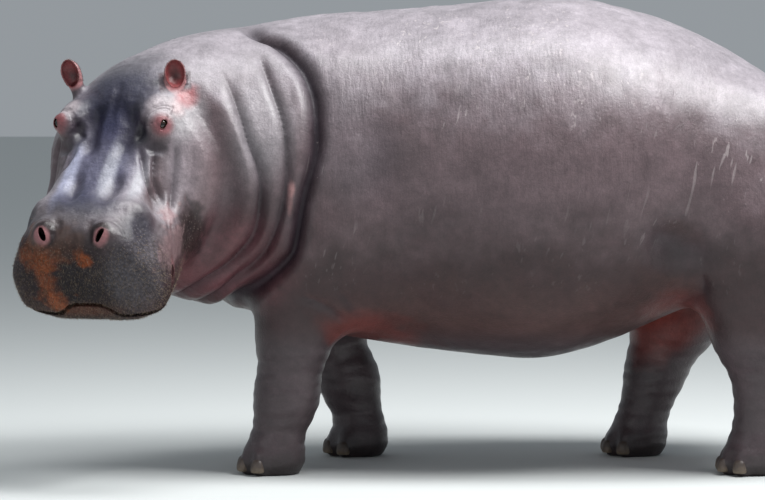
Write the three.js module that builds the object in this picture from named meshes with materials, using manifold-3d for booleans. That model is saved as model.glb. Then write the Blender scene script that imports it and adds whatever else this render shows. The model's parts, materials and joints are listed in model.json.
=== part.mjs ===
// A life-size hippopotamus standing in a walking stance, its head turned to its left and lowered.
// Millimetres, +Z up. The animal looks along -X, its left side is at -Y, and its soles are at Z 0.
// One signed field describes the whole animal. Each part is a mesh of that field, parted from its
// neighbours by thin flat or round cuts.
import * as THREE from "three";
import { mergeVertices } from "three/addons/utils/BufferGeometryUtils.js";
import Module from "manifold-3d";

const wasm = await Module();
wasm.setup();

// ---------- Driving dimensions ----------
const GAP = 0.3; // between neighbouring parts
const FAR = 5000; // longer than the animal

// Trunk cross-sections: place along X, top of the back, underside, half width.
const TRUNK_EXPONENT = 2.25; // 2 is an ellipse, more is boxier
const TRUNK_STATIONS = [
  { x: -1010, top: 1150, bottom: 700, half: 150 }, // front of the chest
  { x: -930, top: 1330, bottom: 520, half: 330 }, // breast
  { x: -760, top: 1432, bottom: 432, half: 440 }, // shoulders
  { x: -500, top: 1464, bottom: 385, half: 520 }, // behind the elbows
  { x: -280, top: 1484, bottom: 357, half: 572 }, // ribs
  { x: -40, top: 1506, bottom: 345, half: 600 }, // deepest belly
  { x: 180, top: 1478, bottom: 400, half: 580 }, // loin
  { x: 420, top: 1400, bottom: 500, half: 520 }, // flank
  { x: 650, top: 1275, bottom: 570, half: 450 }, // hips
  { x: 820, top: 1145, bottom: 650, half: 350 }, // rump
  { x: 930, top: 1020, bottom: 740, half: 230 }, // buttocks
  { x: 985, top: 930, bottom: 820, half: 100 }, // end of the trunk
];

// The neck is a chain of ellipsoids that bends to the left. Each has its centre, its radii along, across
// and up, and its turn about Z.
const NECK_LINKS = [
  { centre: [-850, -20, 945], radii: [330, 430, 450], turn: 10 },
  { centre: [-1030, -85, 965], radii: [270, 405, 425], turn: 32 },
  { centre: [-1160, -200, 985], radii: [240, 330, 375], turn: 52 },
  { centre: [-1255, -310, 985], radii: [220, 280, 320], turn: 66 },
];
const THROAT = { centre: [-1110, -200, 730], radii: [230, 210, 160], turn: 45 };

// The head's frame: mid-point between the eyes, and how far it is turned from straight ahead and lowered.
const HEAD_ORIGIN = [-1384, -500, 1099];
const HEAD_TURN = 72; // degrees to the left
const HEAD_PITCH = 40; // degrees down, of the line from eyes to nostrils

// Head sizes in its own frame: forward, left, up.
const EYE = { place: [-6, 160, 8], radius: 28 };
const EAR = {
  height: 104,
  width: 78,
  wall: 15,
  tilt: 30,
  // The left ear, then the right ear.
  forward: [-137, -155],
  apart: [174, 158],
  rise: [22, 8],
  lean: [2, 22],
  open: [22, -5],
};

// Where the lips meet and the jaw parts from the head: forward and up.
const MOUTH_LINE = [
  [640, -290], [480, -290], [400, -300], [330, -270], [260, -200], [200, -150], [80, -190], [-60, -250],
  [-150, -370], [-210, -560],
];

// Limbs: points down the leg with radii, and the foot's middle on the ground.
const LEGS = {
  front_left: {
    joints: [[-765, -290, 730, 205], [-830, -285, 440, 114], [-852, -275, 250, 93], [-886, -270, 100, 86]],
    foot: [-895, -270],
    cut: { top: 485, radius: 158 },
  },
  front_right: {
    joints: [[-760, 290, 730, 205], [-738, 288, 440, 114], [-662, 275, 250, 90], [-624, 268, 100, 82]],
    foot: [-632, 268],
    cut: { top: 485, radius: 158 },
  },
  hind_left: {
    joints: [[640, -290, 760, 240], [630, -300, 480, 155], [655, -286, 275, 92], [625, -280, 105, 88]],
    foot: [612, -280],
    cut: { top: 550, radius: 210 },
  },
  hind_right: {
    joints: [[530, 290, 760, 235], [410, 300, 480, 150], [340, 286, 275, 90], [292, 278, 105, 86]],
    foot: [278, 278],
    cut: { top: 550, radius: 205 },
  },
};
const ANKLE_HEIGHT = 150; // where a foot is parted from its leg
const FOOT = { pad: [94, 94, 62], padHeight: 42, toeReach: 76, toeHeight: 35, toe: [40, 31, 39] };
const TOE_ANGLES = [-62, -21, 21, 62]; // degrees from straight ahead
const NAIL = { radii: [19, 21, 25], reach: 102, height: 31 };

const TAIL = [[880, 0, 1085, 74], [985, 0, 985, 54], [1020, 0, 860, 38], [1015, 0, 735, 28]];

// Muscle masses that stand proud of the trunk.
const MASSES = [
  { centre: [-690, -300, 880], radii: [230, 175, 400], turn: 0 }, // left shoulder
  { centre: [-650, 300, 880], radii: [230, 175, 400], turn: 0 }, // right shoulder
  { centre: [650, -285, 830], radii: [290, 200, 380], turn: 0 }, // left thigh
  { centre: [590, 285, 830], radii: [290, 200, 380], turn: 0 }, // right thigh
];

// Mesh cell of each part.
const CELL = { trunk: 142, neck: 92, head: 45, leg: 88, foot: 50, ear: 15, tail: 50 };

// ---------- Fields: negative inside, in millimetres ----------
const radians = THREE.MathUtils.degToRad;

function ellipsoid([cx, cy, cz], [rx, ry, rz], turn = 0) {
  const c = Math.cos(radians(turn));
  const s = Math.sin(radians(turn));
  return (x, y, z) => {
    const a = ((x - cx) * c + (y - cy) * s) / rx;
    const b = (-(x - cx) * s + (y - cy) * c) / ry;
    const d = (z - cz) / rz;
    const near = Math.hypot(a, b, d);
    return (near * (near - 1)) / (Math.hypot(a / rx, b / ry, d / rz) + 1e-9);
  };
}

// A box-like ellipsoid: the larger an exponent, the squarer its outline, from above and from the side.
function boxyEllipsoid([cx, cy, cz], [rx, ry, rz], plan, side) {
  const least = Math.min(rx, ry, rz);
  return (x, y, z) => {
    const level = (Math.abs((x - cx) / rx) ** plan + Math.abs((y - cy) / ry) ** plan) ** (side / plan);
    return ((level + Math.abs((z - cz) / rz) ** side) ** (1 / side) - 1) * least;
  };
}

// A cone with round ends, from a ball of radius ra at a to a ball of radius rb at b.
function roundCone([ax, ay, az, ra], [bx, by, bz, rb]) {
  const along = new THREE.Vector3(bx - ax, by - ay, bz - az);
  const length2 = along.lengthSq();
  const slope = ra - rb;
  const flat2 = length2 - slope * slope;
  return (x, y, z) => {
    const [px, py, pz] = [x - ax, y - ay, z - az];
    const t = px * along.x + py * along.y + pz * along.z;
    const beyond = t - length2;
    const [ox, oy, oz] = [px * length2 - along.x * t, py * length2 - along.y * t, pz * length2 - along.z * t];
    const off2 = ox * ox + oy * oy + oz * oz;
    const t2 = t * t * length2;
    const beyond2 = beyond * beyond * length2;
    const side = Math.sign(slope) * slope * slope * off2;
    if (Math.sign(beyond) * flat2 * beyond2 > side) return Math.sqrt(off2 + beyond2) / length2 - rb;
    if (Math.sign(t) * flat2 * t2 < side) return Math.sqrt(off2 + t2) / length2 - ra;
    return (Math.sqrt((off2 * flat2) / length2) + t * slope) / length2 - ra;
  };
}

const chain = (joints) => joints.slice(1).map((joint, i) => roundCone(joints[i], joint));

// Joins fields with a fillet of about the size blend.
function smoothUnion(blend, fields) {
  return (x, y, z) => {
    let d = fields[0](x, y, z);
    for (let i = 1; i < fields.length; i += 1) {
      const e = fields[i](x, y, z);
      const h = Math.max(blend - Math.abs(d - e), 0) / blend;
      d = Math.min(d, e) - (h * h * blend) / 4;
    }
    return d;
  };
}

// A field given in a part's own frame, used from the animal's frame.
function placed(frame, field) {
  const inverse = frame.clone().invert();
  const e = inverse.elements;
  return (x, y, z) =>
    field(
      e[0] * x + e[4] * y + e[8] * z + e[12],
      e[1] * x + e[5] * y + e[9] * z + e[13],
      e[2] * x + e[6] * y + e[10] * z + e[14],
    );
}

// ---------- Trunk ----------
// Cubic interpolation of one measure between stations.
function measureAt(stations, key, x) {
  const last = stations.length - 1;
  if (x <= stations[0].x) return stations[0][key];
  if (x >= stations[last].x) return stations[last][key];
  let i = 0;
  while (x > stations[i + 1].x) i += 1;
  const [p, q] = [stations[i], stations[i + 1]];
  const span = q.x - p.x;
  const slope = (j) => {
    const [before, after] = [stations[Math.max(j - 1, 0)], stations[Math.min(j + 1, last)]];
    return (after[key] - before[key]) / (after.x - before.x);
  };
  const t = (x - p.x) / span;
  const [m0, m1] = [slope(i) * span, slope(i + 1) * span];
  const t2 = t * t;
  const t3 = t2 * t;
  return (2 * t3 - 3 * t2 + 1) * p[key] + (t3 - 2 * t2 + t) * m0 + (-2 * t3 + 3 * t2) * q[key] + (t3 - t2) * m1;
}

function barrel(x, y, z) {
  const stations = TRUNK_STATIONS;
  const top = measureAt(stations, "top", x);
  const bottom = measureAt(stations, "bottom", x);
  const half = measureAt(stations, "half", x);
  const height = (top - bottom) / 2;
  const past = Math.max(stations[0].x - x, x - stations[stations.length - 1].x, 0) / 40;
  const sum = Math.abs(y / half) ** TRUNK_EXPONENT + Math.abs((z - bottom - height) / height) ** TRUNK_EXPONENT;
  return (Math.hypot(sum ** (1 / TRUNK_EXPONENT), past) - 1) * Math.min(half, height);
}

// ---------- Head, in its own frame: forward, left, up ----------
const headFrame = (() => {
  const turn = radians(HEAD_TURN);
  const pitch = radians(HEAD_PITCH);
  const ahead = new THREE.Vector3(-Math.cos(turn), -Math.sin(turn), 0);
  const down = new THREE.Vector3(0, 0, -1);
  const forward = ahead.clone().multiplyScalar(Math.cos(pitch)).addScaledVector(down, Math.sin(pitch));
  const up = ahead.clone().multiplyScalar(Math.sin(pitch)).addScaledVector(down, -Math.cos(pitch));
  const left = up.clone().cross(forward);
  return new THREE.Matrix4().makeBasis(forward, left, up).setPosition(...HEAD_ORIGIN);
})();

// Both sides at once: the left half's shapes are read at the distance from the middle plane.
function mirrored(field) {
  return (f, l, u) => field(f, Math.abs(l), u);
}

const skull = smoothUnion(60, [
  ellipsoid([-120, 0, -95], [175, 178, 122]), // cranium
  mirrored(ellipsoid([-50, 136, -150], [160, 90, 130])), // cheek bones
  mirrored(ellipsoid([-130, 150, -240], [165, 108, 165])), // jowls
  mirrored(roundCone([-10, 150, -140, 70], [240, 172, -215, 62])), // folds from the eyes to the mouth
  roundCone([-40, 0, -108, 104], [320, 0, -140, 104]), // bridge of the snout
  mirrored(roundCone([20, 84, -82, 50], [300, 118, -92, 56])), // its two ridges, from under the eyes
]);
const muzzle = smoothUnion(30, [
  boxyEllipsoid([385, 0, -185], [120, 216, 180], 5, 2.7), // front of the snout
  mirrored(boxyEllipsoid([350, 146, -242], [150, 98, 110], 5, 3.2)), // lips over the tusks
]);
const jaw = smoothUnion(50, [
  boxyEllipsoid([360, 0, -296], [130, 176, 96], 4, 2.8), // chin
  mirrored(roundCone([310, 105, -290, 84], [-60, 135, -290, 100])), // the jaw's two sides
  ellipsoid([60, 0, -290], [320, 130, 100]), // floor of the mouth
]);
const head = smoothUnion(22, [
  smoothUnion(50, [skull, muzzle, jaw]),
  mirrored(ellipsoid([-38, 137, -14], [80, 58, 56])), // eye mounds
  mirrored(ellipsoid([438, 97, -52], [54, 42, 50])), // nostril mounds
]);

// ---------- The whole animal ----------
function foot(x, y) {
  const toes = TOE_ANGLES.map((angle) => {
    const reach = [-Math.cos(radians(angle)), Math.sin(radians(angle))].map((v) => v * FOOT.toeReach);
    return ellipsoid([x + reach[0], y + reach[1], FOOT.toeHeight], FOOT.toe, -angle);
  });
  return smoothUnion(20, [ellipsoid([x, y, FOOT.padHeight], FOOT.pad), ...toes]);
}

const legField = (leg) => smoothUnion(60, [...chain(leg.joints), foot(...leg.foot)]);
const flesh = smoothUnion(140, [
  barrel,
  ...MASSES.map((m) => ellipsoid(m.centre, m.radii, m.turn)),
  ...NECK_LINKS.map((m) => ellipsoid(m.centre, m.radii, m.turn)),
  ellipsoid(THROAT.centre, THROAT.radii, THROAT.turn),
]);
const legs = Object.values(LEGS).map(legField);
const animal = smoothUnion(70, [smoothUnion(110, [flesh, placed(headFrame, head)]), ...legs]);

// ---------- Meshes of a field ----------
// Surface nets. Each grid cell gets one vertex for every patch of surface inside it, and each grid edge that
// crosses the surface gets one four-sided face.
function meshOf(field, low, high, cell) {
  const origin = low.map((v) => v - cell);
  const counts = low.map((v, i) => Math.ceil((high[i] - v) / cell) + 3);
  const strides = [1, counts[0], counts[0] * counts[1]];
  const values = new Float32Array(counts[0] * counts[1] * counts[2]);
  const everyCell = (first, spare, visit) => {
    for (let k = first; k < counts[2] - spare; k += 1)
      for (let j = first; j < counts[1] - spare; j += 1)
        for (let i = first; i < counts[0] - spare; i += 1) visit(i + j * strides[1] + k * strides[2], [i, j, k]);
  };
  everyCell(0, 0, (here, place) => {
    values[here] = field(...place.map((v, n) => origin[n] + v * cell));
  });

  const points = [];
  const besideCorner = new Map(); // for each cell, the vertex beside each of its inside corners
  const bits = [1, 2, 4];
  const corners = [0, 1, 2, 3, 4, 5, 6, 7].map((c) => bits.map((bit) => (c & bit ? 1 : 0)));
  everyCell(0, 1, (here, place) => {
    const value = corners.map((a) => values[here + a[0] * strides[0] + a[1] * strides[1] + a[2] * strides[2]]);
    if (value.every((v) => v < 0) || value.every((v) => v >= 0)) return;
    const vertex = new Array(8).fill(-1);
    corners.forEach((_, first) => {
      if (value[first] >= 0 || vertex[first] >= 0) return;
      const sum = [0, 0, 0];
      let crossings = 0;
      const patch = [first];
      vertex[first] = points.length;
      while (patch.length) {
        const a = patch.pop();
        bits.map((bit) => a ^ bit).forEach((b) => {
          if (value[b] >= 0) {
            const t = value[a] / (value[a] - value[b]);
            crossings += 1;
            sum.forEach((_, n) => {
              sum[n] += corners[a][n] + t * (corners[b][n] - corners[a][n]);
            });
          } else if (vertex[b] < 0) {
            vertex[b] = points.length;
            patch.push(b);
          }
        });
      }
      points.push(place.map((v, n) => origin[n] + (v + sum[n] / crossings) * cell));
    });
    besideCorner.set(here, vertex);
  });
  points.forEach((p) => settle(field, p, cell));

  const faces = [];
  const distance2 = (a, b) => points[a].reduce((sum, v, n) => sum + (v - points[b][n]) ** 2, 0);
  everyCell(1, 1, (here) => {
    strides.forEach((stride, axis) => {
      const inside = values[here] < 0;
      if (inside === values[here + stride] < 0) return;
      const [u, v] = [(axis + 1) % 3, (axis + 2) % 3];
      const end = inside ? 0 : bits[axis];
      const around = [bits[u] | bits[v], bits[v], 0, bits[u]];
      const ring = around.map((corner) => {
        const back = (corner & bits[u] ? strides[u] : 0) + (corner & bits[v] ? strides[v] : 0);
        return besideCorner.get(here - back)[corner | end];
      });
      const [a, b, c, d] = inside ? ring : ring.reverse();
      if (distance2(a, c) < distance2(b, d)) faces.push(a, b, c, a, c, d);
      else faces.push(a, b, d, b, c, d);
    });
  });
  const geometry = new THREE.BufferGeometry();
  geometry.setAttribute("position", new THREE.Float32BufferAttribute(points.flat(), 3));
  return geometry.setIndex(faces);
}

// Moves a point onto the field's surface, by at most half a cell.
function settle(field, p, cell) {
  const start = [...p];
  const step = cell / 50;
  for (let round = 0; round < 4; round += 1) {
    const value = field(...p);
    const slope = [0, 1, 2].map((n) => {
      const [ahead, behind] = [[...p], [...p]];
      ahead[n] += step;
      behind[n] -= step;
      return (field(...ahead) - field(...behind)) / (2 * step);
    });
    const length2 = slope.reduce((sum, v) => sum + v * v, 0) + 1e-6;
    for (let n = 0; n < 3; n += 1) {
      const moved = p[n] - (value * slope[n]) / length2;
      p[n] = THREE.MathUtils.clamp(moved, start[n] - cell / 2, start[n] + cell / 2);
    }
  }
}

// ---------- Solids and cuts ----------
function solidOf(geometry, matrix = new THREE.Matrix4()) {
  let shape = geometry.clone().applyMatrix4(matrix);
  // Three's own shapes repeat the vertices along their edges.
  if (shape.hasAttribute("normal")) {
    shape.deleteAttribute("normal");
    shape.deleteAttribute("uv");
    shape = mergeVertices(shape, 1e-3);
  }
  const vertProperties = new Float32Array(shape.attributes.position.array);
  return new wasm.Manifold(new wasm.Mesh({ numProp: 3, vertProperties, triVerts: new Uint32Array(shape.index.array) }));
}

function geometryOf(solid) {
  const mesh = solid.getMesh();
  const geometry = new THREE.BufferGeometry();
  geometry.setAttribute("position", new THREE.Float32BufferAttribute(mesh.vertProperties, 3));
  geometry.setIndex(new THREE.BufferAttribute(mesh.triVerts, 1));
  return geometry;
}

// A plane as a point and the direction of the side it keeps, and that side as a solid block.
const plane = (point, towards) => ({
  point: new THREE.Vector3(...point),
  normal: new THREE.Vector3(...towards).normalize(),
});
const flipped = ({ point, normal }) => ({ point, normal: normal.clone().negate() });
const grown = ({ point, normal }) => ({ point: point.clone().addScaledVector(normal, -GAP), normal });
const depthIn = ({ point, normal }, x, y, z) =>
  (x - point.x) * normal.x + (y - point.y) * normal.y + (z - point.z) * normal.z;

function block(side) {
  const turn = new THREE.Quaternion().setFromUnitVectors(new THREE.Vector3(0, 0, 1), side.normal);
  const middle = side.point.clone().addScaledVector(side.normal, FAR / 2 + GAP / 2);
  const size = new THREE.Vector3(1, 1, 1);
  return solidOf(new THREE.BoxGeometry(FAR, FAR, FAR), new THREE.Matrix4().compose(middle, turn, size));
}

// The part of the animal on the kept side of every plane. Its mesh runs past the planes before it is cut there.
function portion(field, sides, low, high, cell) {
  const middle = low.map((v, i) => (v + high[i]) / 2);
  const half = low.map((v, i) => (high[i] - v) / 2);
  const outsideBox = (...p) => Math.max(...p.map((v, i) => Math.abs(v - middle[i]) - half[i]));
  const trimmed = (x, y, z) =>
    Math.max(field(x, y, z), outsideBox(x, y, z), ...sides.map((s) => -depthIn(s, x, y, z) - 1.5 * cell));
  return sides.reduce(
    (solid, side) => solid.intersect(block(side)),
    solidOf(meshOf(trimmed, low, high, cell)),
  );
}

const bySize = (solid) => solid.decompose().sort((a, b) => b.volume() - a.volume());
const largest = (solid) => bySize(solid)[0];

const NECK_CUT = plane([-960, 0, 1385], [-0.843, -0.504, 0.188]);
const BEHIND_EARS = (() => {
  const nape = new THREE.Vector3(-215, 0, 0).applyMatrix4(headFrame);
  const turn = radians(HEAD_TURN);
  const slope = radians(16);
  const towards = [-Math.cos(turn) * Math.cos(slope), -Math.sin(turn) * Math.cos(slope), -Math.sin(slope)];
  return plane(nape.toArray(), towards);
})();
const BEHIND_JOWL = plane([-1050, -400, 800], [-0.97, 0.2, 0.12]);
const GROUND = plane([0, 0, -GAP / 2], [0, 0, 1]);

// The round cutter that a leg is parted from the trunk with. It follows the leg's own slope.
function legCutter(leg, growth) {
  const [hip, , , ankle] = leg.joints;
  const top = leg.cut.top + growth;
  const share = (top - ankle[2]) / (hip[2] - ankle[2]);
  const head = new THREE.Vector3(...ankle.slice(0, 3)).lerp(new THREE.Vector3(...hip.slice(0, 3)), share);
  const foot = new THREE.Vector3(...leg.foot, -20);
  const axis = head.clone().sub(foot);
  const shape = new THREE.CylinderGeometry(leg.cut.radius + growth, 190 + growth, axis.length(), 24);
  const turn = new THREE.Quaternion().setFromUnitVectors(new THREE.Vector3(0, 1, 0), axis.clone().normalize());
  const middle = foot.clone().addScaledVector(axis, 0.5);
  return solidOf(shape, new THREE.Matrix4().compose(middle, turn, new THREE.Vector3(1, 1, 1)));
}

// ---------- Parts ----------
const material = (color, roughness) => new THREE.MeshStandardMaterial({ color, roughness, metalness: 0 });
const HIDE = material(0x5d5054, 0.55);
const PALE_HIDE = material(0x7a5a58, 0.6);
const EYE_DARK = material(0x1d1512, 0.1);
const HORN = material(0x3b3230, 0.5);

const body = new THREE.Group();
function add(name, solid, look) {
  const mesh = new THREE.Mesh(geometryOf(solid), look);
  mesh.name = name;
  body.add(mesh);
}

// Legs with their feet and nails, and the trunk and neck that they are cut out of.
const cutters = [];
Object.entries(LEGS).forEach(([name, leg]) => {
  cutters.push(legCutter(leg, GAP));
  const [fx, fy] = leg.foot;
  const reach = 330;
  const low = [fx - reach - 60, fy - reach, -60];
  const high = [fx + reach + 120, fy + reach, leg.cut.top + 120];
  const own = legCutter(leg, 0);
  const ankle = plane([0, 0, ANKLE_HEIGHT], [0, 0, 1]);
  add(`${name}_leg`, portion(animal, [ankle], low, high, CELL.leg).intersect(own), HIDE);
  const sole = portion(animal, [flipped(ankle), GROUND], low, high, CELL.foot).intersect(own);
  const nails = TOE_ANGLES.map((angle) => {
    const turn = new THREE.Quaternion().setFromAxisAngle(new THREE.Vector3(0, 0, 1), radians(180 - angle));
    const reachOut = new THREE.Vector3(NAIL.reach, 0, 0).applyQuaternion(turn);
    const place = new THREE.Vector3(fx, fy, NAIL.height).add(reachOut);
    const ball = (growth) => {
      const size = new THREE.Vector3(...NAIL.radii.map((r) => r + growth));
      return solidOf(new THREE.SphereGeometry(1, 7, 4), new THREE.Matrix4().compose(place, turn, size));
    };
    return { nail: ball(0).intersect(block(GROUND)), pocket: ball(GAP * 2) };
  });
  add(`${name}_foot`, nails.reduce((solid, n) => solid.subtract(n.pocket), sole), HIDE);
  nails.forEach(({ nail }, i) => add(`${name}_nail_${i + 1}`, nail, HORN));
});

const withoutLegs = (solid) => cutters.reduce((rest, cutter) => rest.subtract(cutter), solid);
const trunk = withoutLegs(
  portion(animal, [flipped(NECK_CUT)], [-1250, -800, 240], [1140, 800, 1640], CELL.trunk),
);
add("trunk", trunk, HIDE);
const headSpace = block(BEHIND_EARS).intersect(block(BEHIND_JOWL));
const headSpaceWithGap = block(grown(BEHIND_EARS)).intersect(block(grown(BEHIND_JOWL)));
const neckAndHead = portion(animal, [NECK_CUT], [-1750, -900, 360], [-550, 620, 1560], CELL.neck);
const neck = largest(withoutLegs(neckAndHead).subtract(headSpaceWithGap));
add("neck", neck, HIDE);

// Head, with the lower jaw parted along the mouth and sockets for the eyes.
const mouthLine = (() => {
  const line = new THREE.CatmullRomCurve3(
    MOUTH_LINE.map(([f, u]) => new THREE.Vector3(f, u, 0)),
  );
  const points = line.getPoints(14);
  const lower = points.map((p) => new THREE.Vector2(p.x, p.y - 1)).reverse();
  const upper = points.map((p) => new THREE.Vector2(p.x, p.y));
  const outline = new THREE.Shape([...upper, ...lower]);
  const strip = new THREE.ExtrudeGeometry(outline, { depth: 900, bevelEnabled: false });
  // The strip is drawn in forward and up, and runs across the head.
  const across = new THREE.Matrix4().makeBasis(
    new THREE.Vector3(1, 0, 0), new THREE.Vector3(0, 0, 1), new THREE.Vector3(0, -1, 0),
  ).setPosition(0, 450, 0);
  return solidOf(strip, headFrame.clone().multiply(across));
})();
const eyes = [1, -1].map((side) => {
  const place = new THREE.Vector3(EYE.place[0], side * EYE.place[1], EYE.place[2]).applyMatrix4(headFrame);
  return (radius) => solidOf(
    new THREE.SphereGeometry(radius, 8, 6),
    new THREE.Matrix4().makeTranslation(place.x, place.y, place.z),
  );
});
const wholeHead = eyes.reduce(
  (solid, eye) => solid.subtract(eye(EYE.radius + GAP * 2)),
  portion(animal, [BEHIND_EARS, BEHIND_JOWL], [-1950, -1350, 380], [-850, 0, 1540], CELL.head),
);
const [upperHead, lowerJaw] = bySize(wholeHead.subtract(mouthLine));
add("head", upperHead, HIDE);
add("lower_jaw", lowerJaw, PALE_HIDE);
["left", "right"].forEach((side, i) => add(`eye_${side}`, eyes[i](EYE.radius), EYE_DARK));

// Ears: cups that open forward and a little outward, standing on the back of the head.
["left", "right"].forEach((side, i) => {
  const sign = i ? -1 : 1;
  const frame = headFrame.clone()
    .multiply(new THREE.Matrix4().makeTranslation(EAR.forward[i], sign * EAR.apart[i], EAR.rise[i]))
    .multiply(new THREE.Matrix4().makeRotationX(radians(-sign * EAR.lean[i])))
    .multiply(new THREE.Matrix4().makeRotationY(radians(-EAR.tilt)))
    .multiply(new THREE.Matrix4().makeRotationZ(radians(sign * EAR.open[i])));
  const half = EAR.height / 2;
  const cup = smoothUnion(16, [
    ellipsoid([0, 0, half + 6], [EAR.width * 0.32, EAR.width / 2, half]),
    roundCone([0, 0, -35, 29], [0, 0, half * 0.6, 25]),
  ]);
  const hollow = ellipsoid([20, 0, half + 12], [26, EAR.width / 2 - EAR.wall, half - EAR.wall]);
  const shell = (x, y, z) => Math.max(cup(x, y, z), -hollow(x, y, z));
  const solid = solidOf(meshOf(shell, [-70, -70, -80], [70, 70, 150], CELL.ear), frame);
  const away = new THREE.Vector3(0, 0, 1).transformDirection(frame).multiplyScalar(GAP * 1.5);
  const onHead = largest(solid.subtract(upperHead));
  add(`ear_${side}`, onHead.translate(away.toArray()), PALE_HIDE);
});

// Tail, hanging from the top of the rump.
const tailMesh = meshOf(smoothUnion(20, chain(TAIL)), [760, -110, 640], [1110, 110, 1200], CELL.tail);
const tail = largest(solidOf(tailMesh).subtract(trunk));
add("tail", tail.translate([GAP * 1.5, 0, GAP]), HIDE);

// The origin is under the middle of the animal's box, on the ground.
const box = new THREE.Box3().setFromObject(body);
const centre = box.getCenter(new THREE.Vector3());
body.position.set(-centre.x, -centre.y, -box.min.z);

export default body;
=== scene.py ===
"""A life-size hippopotamus in mid-stride, its lowered head turned to its left.

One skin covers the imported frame. Its shape is a signed field of the whole animal, in millimetres in the
animal's own frame: it looks along -X, its left side is at -Y and its soles are at Z 0. The field is meshed
with small cells on the face and larger ones on the body, and then sinks into folds, wrinkles and pores.
"""

from __future__ import annotations

import json
import logging
import math
from dataclasses import dataclass, field, replace
from enum import Enum
from functools import partial
from typing import Callable, Sequence

import bpy
import numpy as np
from mathutils import Matrix, Vector

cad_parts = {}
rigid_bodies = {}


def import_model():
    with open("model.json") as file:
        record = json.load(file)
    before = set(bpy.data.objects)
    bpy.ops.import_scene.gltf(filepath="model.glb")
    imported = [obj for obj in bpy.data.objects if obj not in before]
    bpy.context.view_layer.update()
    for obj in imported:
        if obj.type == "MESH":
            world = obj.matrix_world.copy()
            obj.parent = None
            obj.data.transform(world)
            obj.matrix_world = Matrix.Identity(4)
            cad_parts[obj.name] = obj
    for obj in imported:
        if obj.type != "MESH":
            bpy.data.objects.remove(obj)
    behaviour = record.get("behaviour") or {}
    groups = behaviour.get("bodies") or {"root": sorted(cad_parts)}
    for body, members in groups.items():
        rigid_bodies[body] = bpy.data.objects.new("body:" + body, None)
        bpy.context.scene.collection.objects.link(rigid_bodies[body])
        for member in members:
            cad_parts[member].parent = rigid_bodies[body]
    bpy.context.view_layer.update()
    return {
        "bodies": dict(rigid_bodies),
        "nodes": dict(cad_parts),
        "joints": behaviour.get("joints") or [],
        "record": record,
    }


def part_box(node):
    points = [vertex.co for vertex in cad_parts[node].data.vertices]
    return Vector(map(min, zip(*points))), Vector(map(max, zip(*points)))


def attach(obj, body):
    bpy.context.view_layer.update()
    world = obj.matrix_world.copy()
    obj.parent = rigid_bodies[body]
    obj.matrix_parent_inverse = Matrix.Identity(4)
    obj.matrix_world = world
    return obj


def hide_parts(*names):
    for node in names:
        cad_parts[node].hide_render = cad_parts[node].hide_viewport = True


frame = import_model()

log = logging.getLogger("hippopotamus")

Array = np.ndarray
Field = Callable[[Array], Array]
Point = tuple[float, float, float]
Adder = Callable[..., bpy.types.Node]  # wire for one node tree

MM = 0.001  # metres in a millimetre
FAR_AWAY = 1.0e4  # a distance in mm that no blend reaches
ROOT = "root"  # the frame's only body


# ---------------- numbers and directions


def eased(x: Array, places: Sequence[float], values: Sequence[float]) -> Array:
    """Reads a smooth curve that passes through a few points.

    Args:
        x: Where to read the curve.
        places: The points' places, rising.
        values: The curve's value at each place.

    Returns:
        The curve's values at x, held level past both ends.
    """
    at = np.asarray(places, float)
    value = np.asarray(values, float)
    slope = np.empty_like(value)
    slope[1:-1] = (value[2:] - value[:-2]) / (at[2:] - at[:-2])
    slope[0] = (value[1] - value[0]) / (at[1] - at[0])
    slope[-1] = (value[-1] - value[-2]) / (at[-1] - at[-2])
    x = np.clip(x, at[0], at[-1])
    i = np.clip(np.searchsorted(at, x, side="right") - 1, 0, len(at) - 2)
    span = at[i + 1] - at[i]
    t = (x - at[i]) / span
    start = (2 * t**3 - 3 * t**2 + 1) * value[i] + (t**3 - 2 * t**2 + t) * slope[i] * span
    end = (3 * t**2 - 2 * t**3) * value[i + 1] + (t**3 - t**2) * slope[i + 1] * span
    return start + end


def ramp(x: Array, low: float, high: float) -> Array:
    """Rises smoothly from 0 at low to 1 at high."""
    t = np.clip((x - low) / (high - low), 0, 1)
    return t * t * (3 - 2 * t)


def turned(about: int, degrees: float) -> Array:
    """Makes a 4x4 rotation.

    Args:
        about: The axis, 0 to 2 for X to Z.
        degrees: The angle, right-handed.

    Returns:
        The matrix.
    """
    return np.array(Matrix.Rotation(math.radians(degrees), 4, "XYZ"[about]))


def moved(x: float, y: float, z: float) -> Array:
    """Makes a 4x4 shift."""
    return np.array(Matrix.Translation((x, y, z)))


def carried(matrix: Array, p: Array) -> Array:
    """Carries points through a 4x4 matrix."""
    return p @ matrix[:3, :3].T + matrix[:3, 3]


# ---------------- fields: negative inside, millimetres


@dataclass(frozen=True)
class Ellipsoid:
    """A ball stretched along X, Y and Z, then turned about Z."""

    centre: Point
    radii: Point
    turn: float = 0.0

    def __call__(self, p: Array) -> Array:
        """Measures how far each point is outside.

        Args:
            p: Points in mm.

        Returns:
            The distances in mm, negative inside.
        """
        q = p - np.array(self.centre)
        c = math.cos(math.radians(self.turn))
        s = math.sin(math.radians(self.turn))
        q = np.stack([q[:, 0] * c + q[:, 1] * s, q[:, 1] * c - q[:, 0] * s, q[:, 2]], 1) / self.radii
        near = np.sqrt((q * q).sum(1))
        steep = np.sqrt(((q / self.radii) ** 2).sum(1))
        return near * (near - 1) / (steep + 1e-9)


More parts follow.
